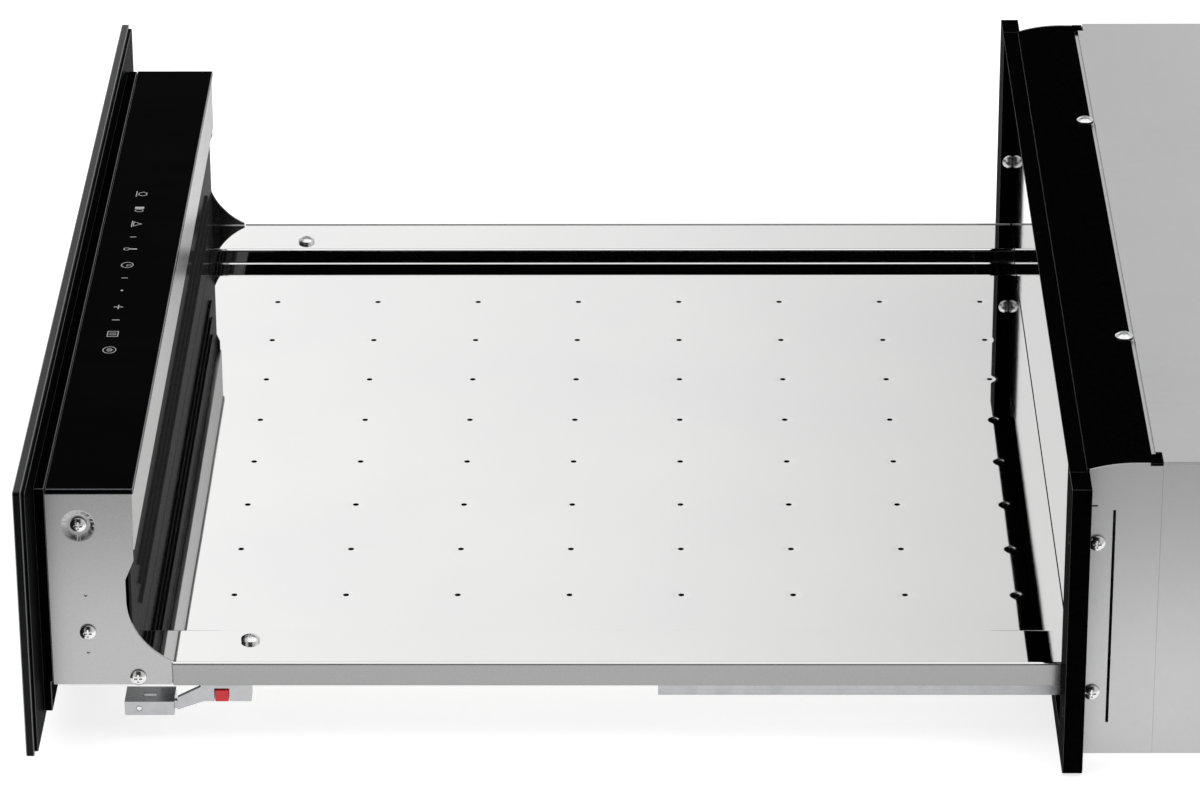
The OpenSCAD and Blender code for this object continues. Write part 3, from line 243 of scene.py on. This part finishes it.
def dimple_height(tree, place):
    """Height of the sheet near the closest hole, in metres."""
    half = (0.5, 0.5, 0.0)
    shifted = add(tree, "ShaderNodeVectorMath", {0: place, 1: HOLE_FIRST + (0.0,)}, operation="SUBTRACT")
    cells = add(tree, "ShaderNodeVectorMath", {0: shifted, 1: HOLE_PITCH + (1.0,)}, operation="DIVIDE")
    centred = add(tree, "ShaderNodeVectorMath", {0: cells, 1: half}, operation="ADD")
    within = add(tree, "ShaderNodeVectorMath", {0: centred}, operation="FRACTION")
    offset = add(tree, "ShaderNodeVectorMath", {0: within, 1: half}, operation="SUBTRACT")
    apart = add(tree, "ShaderNodeVectorMath", {0: offset, 1: HOLE_PITCH + (0.0,)}, operation="MULTIPLY")
    distance = add(tree, "ShaderNodeVectorMath", {0: apart}, operation="LENGTH").outputs["Value"]
    sunk = add(tree, "ShaderNodeMapRange", spread(distance, -DIMPLE_DEPTH, 0.0, 0.0, DIMPLE_REACH),
               interpolation_type="SMOOTHSTEP")
    # only over the grid itself, not over the ledges beside it
    across = add(tree, "ShaderNodeSeparateXYZ", {"Vector": place}).outputs["X"]
    side = add(tree, "ShaderNodeMath", {0: across}, operation="ABSOLUTE")
    inside = add(tree, "ShaderNodeMath", {0: side, 1: GRID_HALF_WIDTH}, operation="LESS_THAN")
    return add(tree, "ShaderNodeMath", {0: sunk, 1: inside}, operation="MULTIPLY")


# The strip's painted shade from its darker left end to its right end, and where those ends are
STRIP_HALF_LENGTH = 260.0 * MM
STRIP_SHADE_TONES = [(0.0, "#949494"), (0.35, "#c2c2c2"), (0.7, "#f4f4f4")]


def ground_sheet(name, dark, light, smooth, rough, shaded_left_end=False):
    # Stainless or bare steel sheet, ground along its length: bright, with fine straight lines.
    material, tree, shader, place = start(name)
    # lines 0.3 mm apart and 60 times as long
    drawn = add(tree, "ShaderNodeMapping", {"Vector": place,
                                            "Scale": (grain(18.2), grain(0.303), grain(0.303))})
    lines = add(tree, "ShaderNodeTexNoise", {"Vector": drawn, "Scale": 1.0, "Detail": 2.0})
    tint = add(tree, "ShaderNodeValToRGB", {"Fac": lines}, tones(dark, light))
    if shaded_left_end:
        # painted shade: the strip darker towards its left end
        across = add(tree, "ShaderNodeSeparateXYZ", {"Vector": place}).outputs["X"]
        share = add(tree, "ShaderNodeMapRange",
                    spread(across, 0.0, 1.0, -STRIP_HALF_LENGTH, STRIP_HALF_LENGTH))
        shade_ramp = add(tree, "ShaderNodeValToRGB", {"Fac": share}, STRIP_SHADE_TONES)
        tint = add(tree, "ShaderNodeMixRGB", {"Fac": 1.0, "Color1": tint, "Color2": shade_ramp},
                   blend_type="MULTIPLY")
    fill(tree, shader, {
        "Base Color": tint,
        "Roughness": add(tree, "ShaderNodeMapRange", spread(lines, smooth, rough)),
        "Metallic": 1.0,
        "Normal": add(tree, "ShaderNodeBump", {"Height": lines, "Strength": 0.08, "Distance": 0.04 * MM}),
    })
    return material


def galvanised_sheet(name, dark, light, smooth, rough):
    # Skin passed galvanised steel: dull silver grey, soft sheen, faint spangle and rolling grain.
    material, tree, shader, place = start(name)
    spangle = add(tree, "ShaderNodeTexVoronoi", {"Vector": place, "Scale": grain(3.03), "Randomness": 1.0})
    rolled = add(tree, "ShaderNodeTexNoise", {"Vector": place, "Scale": grain(1.11), "Detail": 2.0})
    cloud = add(tree, "ShaderNodeTexNoise", {"Vector": place, "Scale": grain(143), "Detail": 3.0})
    tone = add(tree, "ShaderNodeValToRGB", {"Fac": cloud}, tones(dark, light))
    mixed = add(tree, "ShaderNodeMixRGB", {"Fac": 0.012, "Color1": tone, "Color2": spangle.outputs["Color"]})
    fill(tree, shader, {
        "Base Color": add(tree, "ShaderNodeHueSaturation", {"Saturation": 0.12, "Color": mixed}),
        "Roughness": add(tree, "ShaderNodeMapRange", spread(rolled, smooth, rough)),
        "Metallic": 1.0,
        "Normal": add(tree, "ShaderNodeBump", {"Height": cloud, "Strength": 0.3, "Distance": 0.2 * MM}),
    })
    return material


def zinc_plate(name, dark, light, smooth, rough):
    # Bright zinc plating on pressed steel: silvery with a slightly cool tone and a soft gloss.
    material, tree, shader, place = start(name)
    cloud = add(tree, "ShaderNodeTexNoise", {"Vector": place, "Scale": grain(8.33), "Detail": 3.0})
    fill(tree, shader, {
        "Base Color": add(tree, "ShaderNodeValToRGB", {"Fac": cloud}, tones(dark, light)),
        "Roughness": add(tree, "ShaderNodeMapRange", spread(cloud, smooth, rough)),
        "Metallic": 1.0,
    })
    return material


def bright_zinc(name):
    # The same plating on screws and rivets: brighter and glossier, as the photograph shows them.
    return zinc_plate(name, "#dcdddd", "#e8e8e7", 0.2, 0.26)


def aluminised_sheet(name):
    # Hot dip aluminised steel for heated parts: matt, warm silver with a mottled bloom.
    material, tree, shader, place = start(name)
    bloom = add(tree, "ShaderNodeTexNoise", {"Vector": place, "Scale": grain(16.7), "Detail": 5.0})
    fill(tree, shader, {
        "Base Color": add(tree, "ShaderNodeValToRGB", {"Fac": bloom}, tones("#a9a8a5", "#bdbcb8")),
        "Roughness": add(tree, "ShaderNodeMapRange", spread(bloom, 0.42, 0.55)),
        "Metallic": 1.0,
    })
    return material


def bearing_steel(name):
    # Hardened and polished chromium steel: a small clean mirror with fine wear marks.
    material, tree, shader, place = start(name)
    wear = add(tree, "ShaderNodeTexNoise", {"Vector": place, "Scale": grain(1.11), "Detail": 2.0})
    fill(tree, shader, {
        "Base Color": add(tree, "ShaderNodeValToRGB", {"Fac": wear}, tones("#d6d7d9", "#e4e4e5")),
        "Roughness": add(tree, "ShaderNodeMapRange", spread(wear, 0.05, 0.1)),
        "Metallic": 1.0,
    })
    return material


def moulded_plastic(name, dark, light, roughness):
    # Moulded or varnished surface with a fine texture, under half a millimetre: an even, soft shine.
    material, tree, shader, place = start(name)
    texture = add(tree, "ShaderNodeTexNoise", {"Vector": place, "Scale": grain(0.385), "Detail": 2.0})
    fill(tree, shader, {
        "Base Color": add(tree, "ShaderNodeValToRGB", {"Fac": texture}, tones(dark, light)),
        "Roughness": roughness,
        "Normal": add(tree, "ShaderNodeBump", {"Height": texture, "Strength": 0.15,
                                               "Distance": 0.04 * MM}),
    })
    return material


def printed_white(name):
    # Ceramic screen print: an even, slightly cool and greyish white.
    material, tree, shader, place = start(name)
    speck = add(tree, "ShaderNodeTexNoise", {"Vector": place, "Scale": grain(0.333), "Detail": 1.0})
    fill(tree, shader, {
        "Base Color": add(tree, "ShaderNodeValToRGB", {"Fac": speck}, tones("#b4b7ba", "#c6c8ca")),
        "Roughness": 0.5,
    })
    return material


def felt(name):
    # Pressed mineral fibre felt: off white and matt, with matted fibres 2 mm long.
    material, tree, shader, place = start(name)
    drawn = add(tree, "ShaderNodeMapping", {"Vector": place,
                                            "Scale": (grain(2.0), grain(0.667), grain(1.11))})
    fibres = add(tree, "ShaderNodeTexNoise", {"Vector": drawn, "Scale": 1.0, "Detail": 4.0})
    fill(tree, shader, {
        "Base Color": add(tree, "ShaderNodeValToRGB", {"Fac": fibres}, tones("#b9b09a", "#d8d0bb")),
        "Roughness": 0.95,
        "Normal": add(tree, "ShaderNodeBump", {"Height": fibres, "Strength": 0.6, "Distance": 0.3 * MM}),
    })
    return material


# The finish of each material slot of the record
FINISH = {
    "black_glass": black_glass("black_float_glass", GLASS_GLARE),
    "black_enamel": black_enamel("black_stove_enamel", ENAMEL_GLARE),
    "black_steel": black_steel("black_powder_coated_steel"),
    "polished_stainless": polished_sheet("polished_stainless_sheet", False),
    # the ground strip gets a painted shade, darker towards its left end
    "brushed_stainless": ground_sheet("ground_stainless_strip", "#c4c5c5", "#d2d2d1", 0.26, 0.34, True),
    "galvanised_steel": galvanised_sheet("galvanised_steel_sheet", "#c0c1c2", "#c5c6c6", 0.24, 0.27),
    "zinc_steel": zinc_plate("zinc_plated_steel", "#a9abad", "#b9babb", 0.24, 0.34),
    "aluminised_steel": aluminised_sheet("aluminised_steel_sheet"),
    "bearing_steel": bearing_steel("polished_bearing_steel"),
    "dark_plastic": moulded_plastic("black_moulded_polyamide", "#141415", "#1f1f20", 0.5),
    "red_plastic": moulded_plastic("red_moulded_acetal", "#d2101f", "#e62032", 0.3),
    "circuit_board": moulded_plastic("green_board_laminate", "#14502c", "#1c6b3c", 0.35),
    "mineral_felt": felt("mineral_fibre_felt"),
    "element_sheath": moulded_plastic("oxidised_element_sheath", "#3c3a37", "#4d4a45", 0.6),
    "ceramic": moulded_plastic("glazed_ceramic", "#ddd8ca", "#ebe7da", 0.22),
    "motor_iron": moulded_plastic("varnished_motor_iron", "#3a352f", "#4a443c", 0.4),
    "polyamide": moulded_plastic("natural_moulded_polyamide", "#d4d1c6", "#e2dfd5", 0.45),
}

# Nodes whose tone or polish differs from the rest of their slot, set to match the photograph
# Casing sides and front brackets: the galvanised sheet a little darker than the roof, a painted shade, and
# rougher
SHADED_CASING_SIDE = galvanised_sheet("galvanised_steel_casing_side_shaded", "#bebfc0", "#c3c4c4", 0.4, 0.44)
SPECIAL = {
    "front_glass": black_glass("black_front_glass", 0.12),
    # the louvre panel's grey base is a painted sheen on black enamel, its glare near none
    "louvre_panel": black_enamel("black_louvre_enamel_painted_sheen", 0.00016, "#2a2a2b", "#323233"),
    "casing_left": SHADED_CASING_SIDE,
    "casing_right": SHADED_CASING_SIDE,
    "front_bracket_left": SHADED_CASING_SIDE,
    "front_bracket_right": SHADED_CASING_SIDE,
    # the cheeks are darker copies of the ground stainless, the far left one darkest and glossiest: painted
    # shade
    "side_plate_left": ground_sheet("ground_stainless_cheek_left", "#a2a3a3", "#aeaead", 0.08, 0.12),
    "side_plate_right": ground_sheet("ground_stainless_cheek", "#a8a9a9", "#b5b5b4", 0.26, 0.34),
    # the drawer sides are copies of one ground steel, the right one darker: painted shade
    "side_rail_left": ground_sheet("ground_steel_side", "#b8b9b9", "#c2c2c1", 0.3, 0.38),
    "side_rail_right": ground_sheet("ground_steel_side_right", "#929393", "#9c9c9b", 0.13, 0.19),
    # the rear wall's dark tone for stainless is a painted shade
    "rear_wall": ground_sheet("ground_stainless_wall_shaded", "#8b8c8c", "#919190", 0.03, 0.06),
    "floor_plate": polished_sheet("perforated_polished_stainless", True),
    "drawer_screws": bright_zinc("bright_zinc_screws"),
    "cabinet_screws": bright_zinc("bright_zinc_cabinet_screws"),
}

# The finish of the narrow rounded edges of black pieces: grey bases that paint a highlight line along them
GLASS_ARRIS = highlight_arris("glass_arris_painted_highlight", "#5c5f61", "#6a6d6f", 0.5)
ENAMEL_ARRIS = highlight_arris("enamel_arris_painted_highlight", "#3a3a3b", "#484849", 0.6)
ARRIS = {
    "front_glass": GLASS_ARRIS,
    "control_glass": GLASS_ARRIS,
    "glass_backing": ENAMEL_ARRIS,
    "front_spacer": ENAMEL_ARRIS,
    "front_frame": ENAMEL_ARRIS,
    "top_trim": ENAMEL_ARRIS,
}

BODY_OF = {node: body for body, nodes in frame["record"]["behaviour"]["bodies"].items() for node in nodes}
SLOT_OF = {part["node"]: part["material_slot"] for part in frame["record"]["subparts"]}


def finish_of(node):
    """The material of a node: its own one, or the one of its slot."""
    return SPECIAL.get(node) or FINISH[SLOT_OF[node]]


# Sheet metal and glass pieces: copies of their nodes with rounded edges
MERGED_WITHIN = 0.002 * MM
# In degrees: faces this close to flat are joined, edges sharper than the second get rounded, and faces
# that meet at less than the third are shaded as one.
FLAT_WITHIN = 0.4
SHARP_FROM = 35.0
SMOOTH_TO = 50.0
ARRIS_SLOT = 1
PLAIN_STEPS = 2
FINE_STEPS = 4


def alone(piece):
    """Makes one object the only selected and the active one."""
    bpy.ops.object.select_all(action="DESELECT")
    piece.select_set(True)
    bpy.context.view_layer.objects.active = piece


def rounded(piece, width, steps, smooth_to=SMOOTH_TO, arris=False):
    """Rounds the sharp edges of the active piece by width metres, with an arris finish if it has one."""
    edges = piece.modifiers.new("rounded_edges", "BEVEL")
    edges.width = width
    edges.segments = steps
    edges.limit_method = "ANGLE"
    edges.angle_limit = math.radians(SHARP_FROM)
    if arris:
        edges.material = ARRIS_SLOT
    bpy.ops.object.modifier_apply(modifier=edges.name)
    bpy.ops.object.shade_smooth_by_angle(angle=math.radians(smooth_to))


def soft_edged(node, width, steps=PLAIN_STEPS, smooth_to=SMOOTH_TO, lower=0.0):
    """Replaces a node by a copy whose edges are rounded by width metres, as on folded or ground sheet.
    Its top edge can be set down by lower metres."""
    piece = bpy.data.objects.new(node + "_finished", frame["nodes"][node].data.copy())
    bpy.context.scene.collection.objects.link(piece)
    alone(piece)
    bpy.ops.object.mode_set(mode="EDIT")
    bpy.ops.mesh.select_all(action="SELECT")
    bpy.ops.mesh.remove_doubles(threshold=MERGED_WITHIN)
    bpy.ops.mesh.dissolve_limited(angle_limit=math.radians(FLAT_WITHIN))
    bpy.ops.mesh.select_all(action="DESELECT")
    bpy.ops.object.mode_set(mode="OBJECT")
    if lower:
        top = max(corner.co.z for corner in piece.data.vertices)
        for corner in piece.data.vertices:
            corner.select = corner.co.z > top - HEM_BAND
        bpy.ops.object.mode_set(mode="EDIT")
        bpy.ops.transform.translate(value=(0.0, 0.0, -lower))
        bpy.ops.object.mode_set(mode="OBJECT")
    piece.data.materials.clear()
    piece.data.materials.append(finish_of(node))
    if node in ARRIS:
        piece.data.materials.append(ARRIS[node])
    rounded(piece, width, steps, smooth_to, node in ARRIS)
    # flat sheets stay flat: only the narrow rounded edges turn the light
    flat = piece.modifiers.new("flat_faces", "WEIGHTED_NORMAL")
    flat.weight = 100
    flat.keep_sharp = True
    bpy.ops.object.modifier_apply(modifier=flat.name)
    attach(piece, BODY_OF[node])
    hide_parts(node)


# Edge radius of each node that shows, in millimetres: ground glass, folded sheet, cut sheet
EDGES_MM = {
    "front_glass": 0.5,
    "glass_backing": 0.3,
    "front_spacer": 0.4,
    "control_glass": 0.4,
    "housing_strip": 0.25,
    "louvre_panel": 0.15,
    "side_plate_left": 0.4,
    "side_plate_right": 0.4,
    "floor_plate": 0.15,
    "rear_wall": 0.2,
    "drawer_slide_left": 0.3,
    "drawer_slide_right": 0.3,
    "middle_rail_left": 0.3,
    "middle_rail_right": 0.3,
    "locking_clip_left": 0.25,
    "locking_clip_right": 0.25,
    "release_button_left": 0.5,
    "release_button_right": 0.5,
    "front_frame": 0.45,
    "top_trim": 0.35,
    "front_bracket_left": 0.06,
    "front_bracket_right": 0.06,
    "casing_left": 0.06,
    "casing_right": 0.06,
    "casing_top": 0.3,
    "casing_base": 0.3,
    "casing_back": 0.25,
    "base_pan": 0.3,
    "drawer_screws": 0.25,
    "cabinet_screws": 0.25,
    "cabinet_rail_left": 0.3,
    "cabinet_rail_right": 0.3,
}

# The top hem of each drawer side is rolled over, just above the ledge.
HEM_BAND = 0.3 * MM
HEM_ROLL = 0.58 * MM
HEM_DOWN = 0.9 * MM
# The cheeks keep the shallow cone of their screw dish apart from the flat sheet round it.
DISH_SMOOTH_TO = 20.0

for node, source in frame["nodes"].items():
    if node.startswith("side_rail"):
        soft_edged(node, HEM_ROLL, FINE_STEPS, lower=HEM_DOWN)
    elif node.startswith("side_plate"):
        soft_edged(node, EDGES_MM[node] * MM, FINE_STEPS, DISH_SMOOTH_TO)
    elif node in EDGES_MM:
        soft_edged(node, EDGES_MM[node] * MM)
    else:
        source.data.materials.clear()
        source.data.materials.append(finish_of(node))


# Touch symbols on the control glass
SYMBOL_ROW_Y = -490.7 * MM
SYMBOL_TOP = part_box("control_glass")[1][2]
SYMBOL_H = 0.05 * MM
STROKE = 0.42 * MM
strokes = []


def in_place(piece):
    """Puts an object's place, turn and size into its mesh."""
    alone(piece)
    bpy.ops.object.transform_apply(location=True, rotation=True, scale=True)


def raised(piece):
    """Gives a flat shape the thickness of the print."""
    in_place(piece)
    bpy.ops.object.mode_set(mode="EDIT")
    bpy.ops.mesh.select_all(action="SELECT")
    bpy.ops.mesh.extrude_region_move(TRANSFORM_OT_translate={"value": (0.0, 0.0, SYMBOL_H)})
    bpy.ops.mesh.select_all(action="SELECT")
    bpy.ops.mesh.normals_make_consistent(inside=False)
    bpy.ops.object.mode_set(mode="OBJECT")
    strokes.append(piece)


def bar(x, y, w, h):
    """A printed bar, centred at x and y in millimetres along the symbol row."""
    bpy.ops.object.select_all(action="DESELECT")
    bpy.ops.mesh.primitive_plane_add(size=1.0, location=(x * MM, SYMBOL_ROW_Y + y * MM, SYMBOL_TOP))
    piece = bpy.context.active_object
    piece.scale = (w * MM, h * MM, 1.0)
    raised(piece)


def outline(x, y, w, h, corners=32, turn=0.0, solid=False):
    """A printed outline with round or straight sides: 32 corners make a ring, 4 a frame."""
    bpy.ops.object.select_all(action="DESELECT")
    bpy.ops.mesh.primitive_circle_add(vertices=corners, radius=0.5, fill_type="NGON",
                                      location=(x * MM, SYMBOL_ROW_Y + y * MM, SYMBOL_TOP),
                                      rotation=(0.0, 0.0, math.radians(turn)))
    piece = bpy.context.active_object
    alone(piece)
    bpy.ops.object.transform_apply(location=False, rotation=True, scale=False)
    piece.scale = (w * MM, h * MM, 1.0)
    in_place(piece)
    if not solid:
        bpy.ops.object.mode_set(mode="EDIT")
        bpy.ops.mesh.select_all(action="SELECT")
        bpy.ops.mesh.inset(thickness=STROKE, depth=0.0)
        bpy.ops.mesh.delete(type="FACE")
        bpy.ops.object.mode_set(mode="OBJECT")
    raised(piece)


# cup on its saucer
outline(-89.7, 0.4, 5.6, 5.2, 6, 30.0)
bar(-89.7, -2.9, 7.0, 0.5)
# plate and dish
bar(-71.2, 0.2, 2.6, 4.8)
outline(-67.6, 0.2, 3.6, 4.6, 24)
# dome on its tray
outline(-50.0, 0.2, 7.4, 6.2, 3)
bar(-50.0, -2.0, 8.0, 0.5)
# mark
bar(-33.1, 0.0, 0.6, 3.2)
# thermometer
outline(-17.6, -2.0, 3.4, 3.4, 24)
bar(-17.6, 1.4, 1.2, 3.8)
# clock with its hands
outline(2.8, 0.0, 7.0, 6.4)
bar(2.8, 0.9, 0.5, 2.2)
bar(3.6, 0.0, 1.8, 0.5)
# mark and lock dot
bar(19.1, 0.0, 0.6, 3.2)
outline(34.7, 0.0, 1.5, 1.5, 16, solid=True)
# plus
bar(55.1, 0.0, 0.7, 4.6)
bar(55.1, 0.0, 4.6, 0.7)
# minus
bar(70.9, 0.0, 0.7, 3.8)
# display frame with its two bars
outline(87.8, 0.0, 9.4, 8.0, 4, 45.0)
bar(86.8, 0.0, 0.5, 3.6)
bar(88.8, 0.0, 0.5, 3.6)
# power key
outline(106.9, 0.0, 8.0, 6.8)
outline(106.9, 0.0, 3.6, 2.8, 20)
bar(106.9, 0.6, 0.6, 2.6)

alone(strokes[0])
for stroke in strokes:
    stroke.select_set(True)
bpy.ops.object.join()
symbols = bpy.context.active_object
symbols.name = "touch_symbols"
in_place(symbols)
symbols.data.materials.append(printed_white("white_ceramic_print"))
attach(symbols, BODY_OF["control_glass"])


# Rivets of the clips and ribs of the red buttons
RIVET_R = 1.38 * MM
RIVET_DEEP = 1.6 * MM
RIVET_FROM_FRONT = 7.0 * MM
RIVET_FROM_BOTTOM = 3.65 * MM
RIVET_SIDES = 32
RIVET_EDGE = 0.4 * MM
RIVET_STEPS = 3
RIB_SET_IN = 0.25 * MM
RIB_THICK = 0.49 * MM
RIB_EDGE = 0.2 * MM
RIB_LONG_SHARE = 0.8
RIB_TALL_SHARE = 0.16


def carried(piece, name, carrier, finish):
    """Names a piece, gives it a finish and lets it ride with the node that carries it."""
    piece.name = name
    in_place(piece)
    piece.data.materials.append(finish)
    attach(piece, BODY_OF[carrier])


def outer_face(node, sign):
    """The node's box and the x of its face on the outside of the drawer."""
    low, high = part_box(node)
    return low, high, high[0] if sign > 0 else low[0]


def clip_rivet(side, sign):
    """The rivet head on the outside of one locking clip."""
    clip = "locking_clip_" + side
    low, high, outside = outer_face(clip, sign)
    bpy.ops.object.select_all(action="DESELECT")
    bpy.ops.mesh.primitive_cylinder_add(
        vertices=RIVET_SIDES, radius=RIVET_R, depth=RIVET_DEEP,
        location=(outside - sign * RIVET_DEEP / 2, low[1] + RIVET_FROM_FRONT, low[2] + RIVET_FROM_BOTTOM),
        rotation=(0.0, math.radians(90.0), 0.0))
    rivet = bpy.context.active_object
    in_place(rivet)
    rounded(rivet, RIVET_EDGE, RIVET_STEPS)
    carried(rivet, "clip_rivet_" + side, clip, SPECIAL["drawer_screws"])


def button_rib(side, sign):
    """The grip rib across the face of one release button."""
    button = "release_button_" + side
    low, high, outside = outer_face(button, sign)
    bpy.ops.object.select_all(action="DESELECT")
    bpy.ops.mesh.primitive_cube_add(
        size=1.0, location=(outside - sign * RIB_SET_IN, (low[1] + high[1]) / 2, (low[2] + high[2]) / 2))
    rib = bpy.context.active_object
    rib.scale = (RIB_THICK, (high[1] - low[1]) * RIB_LONG_SHARE, (high[2] - low[2]) * RIB_TALL_SHARE)
    in_place(rib)
    rounded(rib, RIB_EDGE, PLAIN_STEPS)
    carried(rib, "button_rib_" + side, button, FINISH["red_plastic"])


for side, sign in (("left", -1.0), ("right", 1.0)):
    clip_rivet(side, sign)
    button_rib(side, sign)


# Studio: a lit table, a room that polished steel can mirror, and soft boxes
TABLE_SIZE = 40.0
TABLE_DROP = 0.2 * MM
TABLE_GLOW = 0.78
TABLE_WHITE_TO = 0.40
TABLE_GREY_FROM = 0.55
# the floor's paint from white to grey; the grey is painted shade
TABLE_PAINT_AND_SHADE = [(0.0, "#d8d8d8"), (1.0, "#8e8e8e")]
TABLE_LIGHT = [(0.0, "#fbfbfb"), (1.0, "#a8a8a8")]

WALL_LIGHT = 1.05
# Tones of the room along the drawer's width, from the far side to the camera's side
ROOM_TONES = [(0.085, "#ffffff"), (0.125, "#262626"), (0.4, "#303030"), (0.5, "#484848"), (0.72, "#030303")]
# How the far side falls off towards the cabinet and rises again beyond the frame
FAR_SIDE_REACH = 0.12
FAR_SIDE_TONES = [(0.08, "#ffffff"), (0.5, "#f0f0f0"), (0.83, "#d4d4d4"), (0.93, "#f4f4f4")]
# The walls in front of and behind the object
END_WALL = "#cecece"
END_WALL_FROM = 0.34
END_WALL_FULL = 0.48

# Name, place, aim, size and power in watts of each soft box
SOFT_BOXES = [
    ("overhead_box", (0.0, 0.0, 3.2), (0.0, 0.0, 0.0), (4.0, 3.4), 50.0),
    ("front_box", (0.0, -2.6, 2.4), (0.0, -0.2, 0.0), (3.0, 2.4), 8.0),
    ("rear_box", (0.0, 2.6, 2.4), (0.0, 0.2, 0.0), (3.0, 2.4), 8.0),
]


def studio_floor():
    """A pale, evenly lit table top, dimmer towards the dark side of the room."""
    bpy.ops.object.select_all(action="DESELECT")
    bpy.ops.mesh.primitive_plane_add(size=TABLE_SIZE, location=(0.0, 0.0, -TABLE_DROP))
    ground = bpy.context.active_object
    ground.name = "studio_floor"
    # Painted board, lit from inside: even, matt white that goes over into a grey that is painted shade, with
    # a dimmer glow, towards the dark side of the room.
    material, tree, shader, place = start("pale_studio_floor")
    across = add(tree, "ShaderNodeSeparateXYZ", {"Vector": place}).outputs["X"]
    share = add(tree, "ShaderNodeMapRange", spread(across, 0.0, 1.0, TABLE_WHITE_TO, TABLE_GREY_FROM),
                interpolation_type="SMOOTHSTEP")
    fill(tree, shader, {
        "Base Color": add(tree, "ShaderNodeValToRGB", {"Fac": share}, TABLE_PAINT_AND_SHADE),
        "Emission Color": add(tree, "ShaderNodeValToRGB", {"Fac": share}, TABLE_LIGHT),
        "Emission Strength": TABLE_GLOW,
        "Roughness": 0.9,
        "Specular IOR Level": 0.1,
    })
    ground.data.materials.append(material)


def studio_room():
    """White behind the far side of the drawer, dark overhead and behind the camera, light at both ends."""
    world = bpy.data.worlds.new("studio")
    bpy.context.scene.world = world
    world.use_nodes = True
    tree = world.node_tree
    tree.nodes.clear()
    way = add(tree, "ShaderNodeTexCoord").outputs["Generated"]
    parts = add(tree, "ShaderNodeSeparateXYZ", {"Vector": way})
    reach = add(tree, "ShaderNodeMapRange",
                spread(parts.outputs["Y"], 0.0, 1.0, -FAR_SIDE_REACH, FAR_SIDE_REACH))
    along = add(tree, "ShaderNodeValToRGB", {"Fac": reach}, FAR_SIDE_TONES)
    width = add(tree, "ShaderNodeMapRange", spread(parts.outputs["X"], 0.0, 1.0, -1.0, 1.0))
    across = add(tree, "ShaderNodeValToRGB", {"Fac": width}, ROOM_TONES)
    sides = add(tree, "ShaderNodeVectorMath", {0: along, 1: across}, operation="MULTIPLY")
    # both ends are light, so that polished steel stays bright from every corner
    endways = add(tree, "ShaderNodeMath", {0: parts.outputs["Y"]}, operation="ABSOLUTE")
    share = add(tree, "ShaderNodeMapRange", spread(endways, 0.0, 1.0, END_WALL_FROM, END_WALL_FULL))
    light = add(tree, "ShaderNodeMixRGB", {"Fac": share, "Color1": sides, "Color2": linear(END_WALL)})
    background = add(tree, "ShaderNodeBackground", {"Color": light, "Strength": WALL_LIGHT})
    add(tree, "ShaderNodeOutputWorld", {"Surface": background})


def soft_box(name, place, aim, size, power):
    """One rectangular soft light."""
    data = bpy.data.lights.new(name, "AREA")
    data.shape = "RECTANGLE"
    data.size, data.size_y = size
    data.energy = power
    lamp = bpy.data.objects.new(name, data)
    bpy.context.scene.collection.objects.link(lamp)
    lamp.location = place
    lamp.rotation_euler = (Vector(aim) - Vector(place)).to_track_quat("-Z", "Y").to_euler()


studio_floor()
studio_room()
for box in SOFT_BOXES:
    soft_box(*box)
bpy.context.scene.view_settings.view_transform = "Standard"
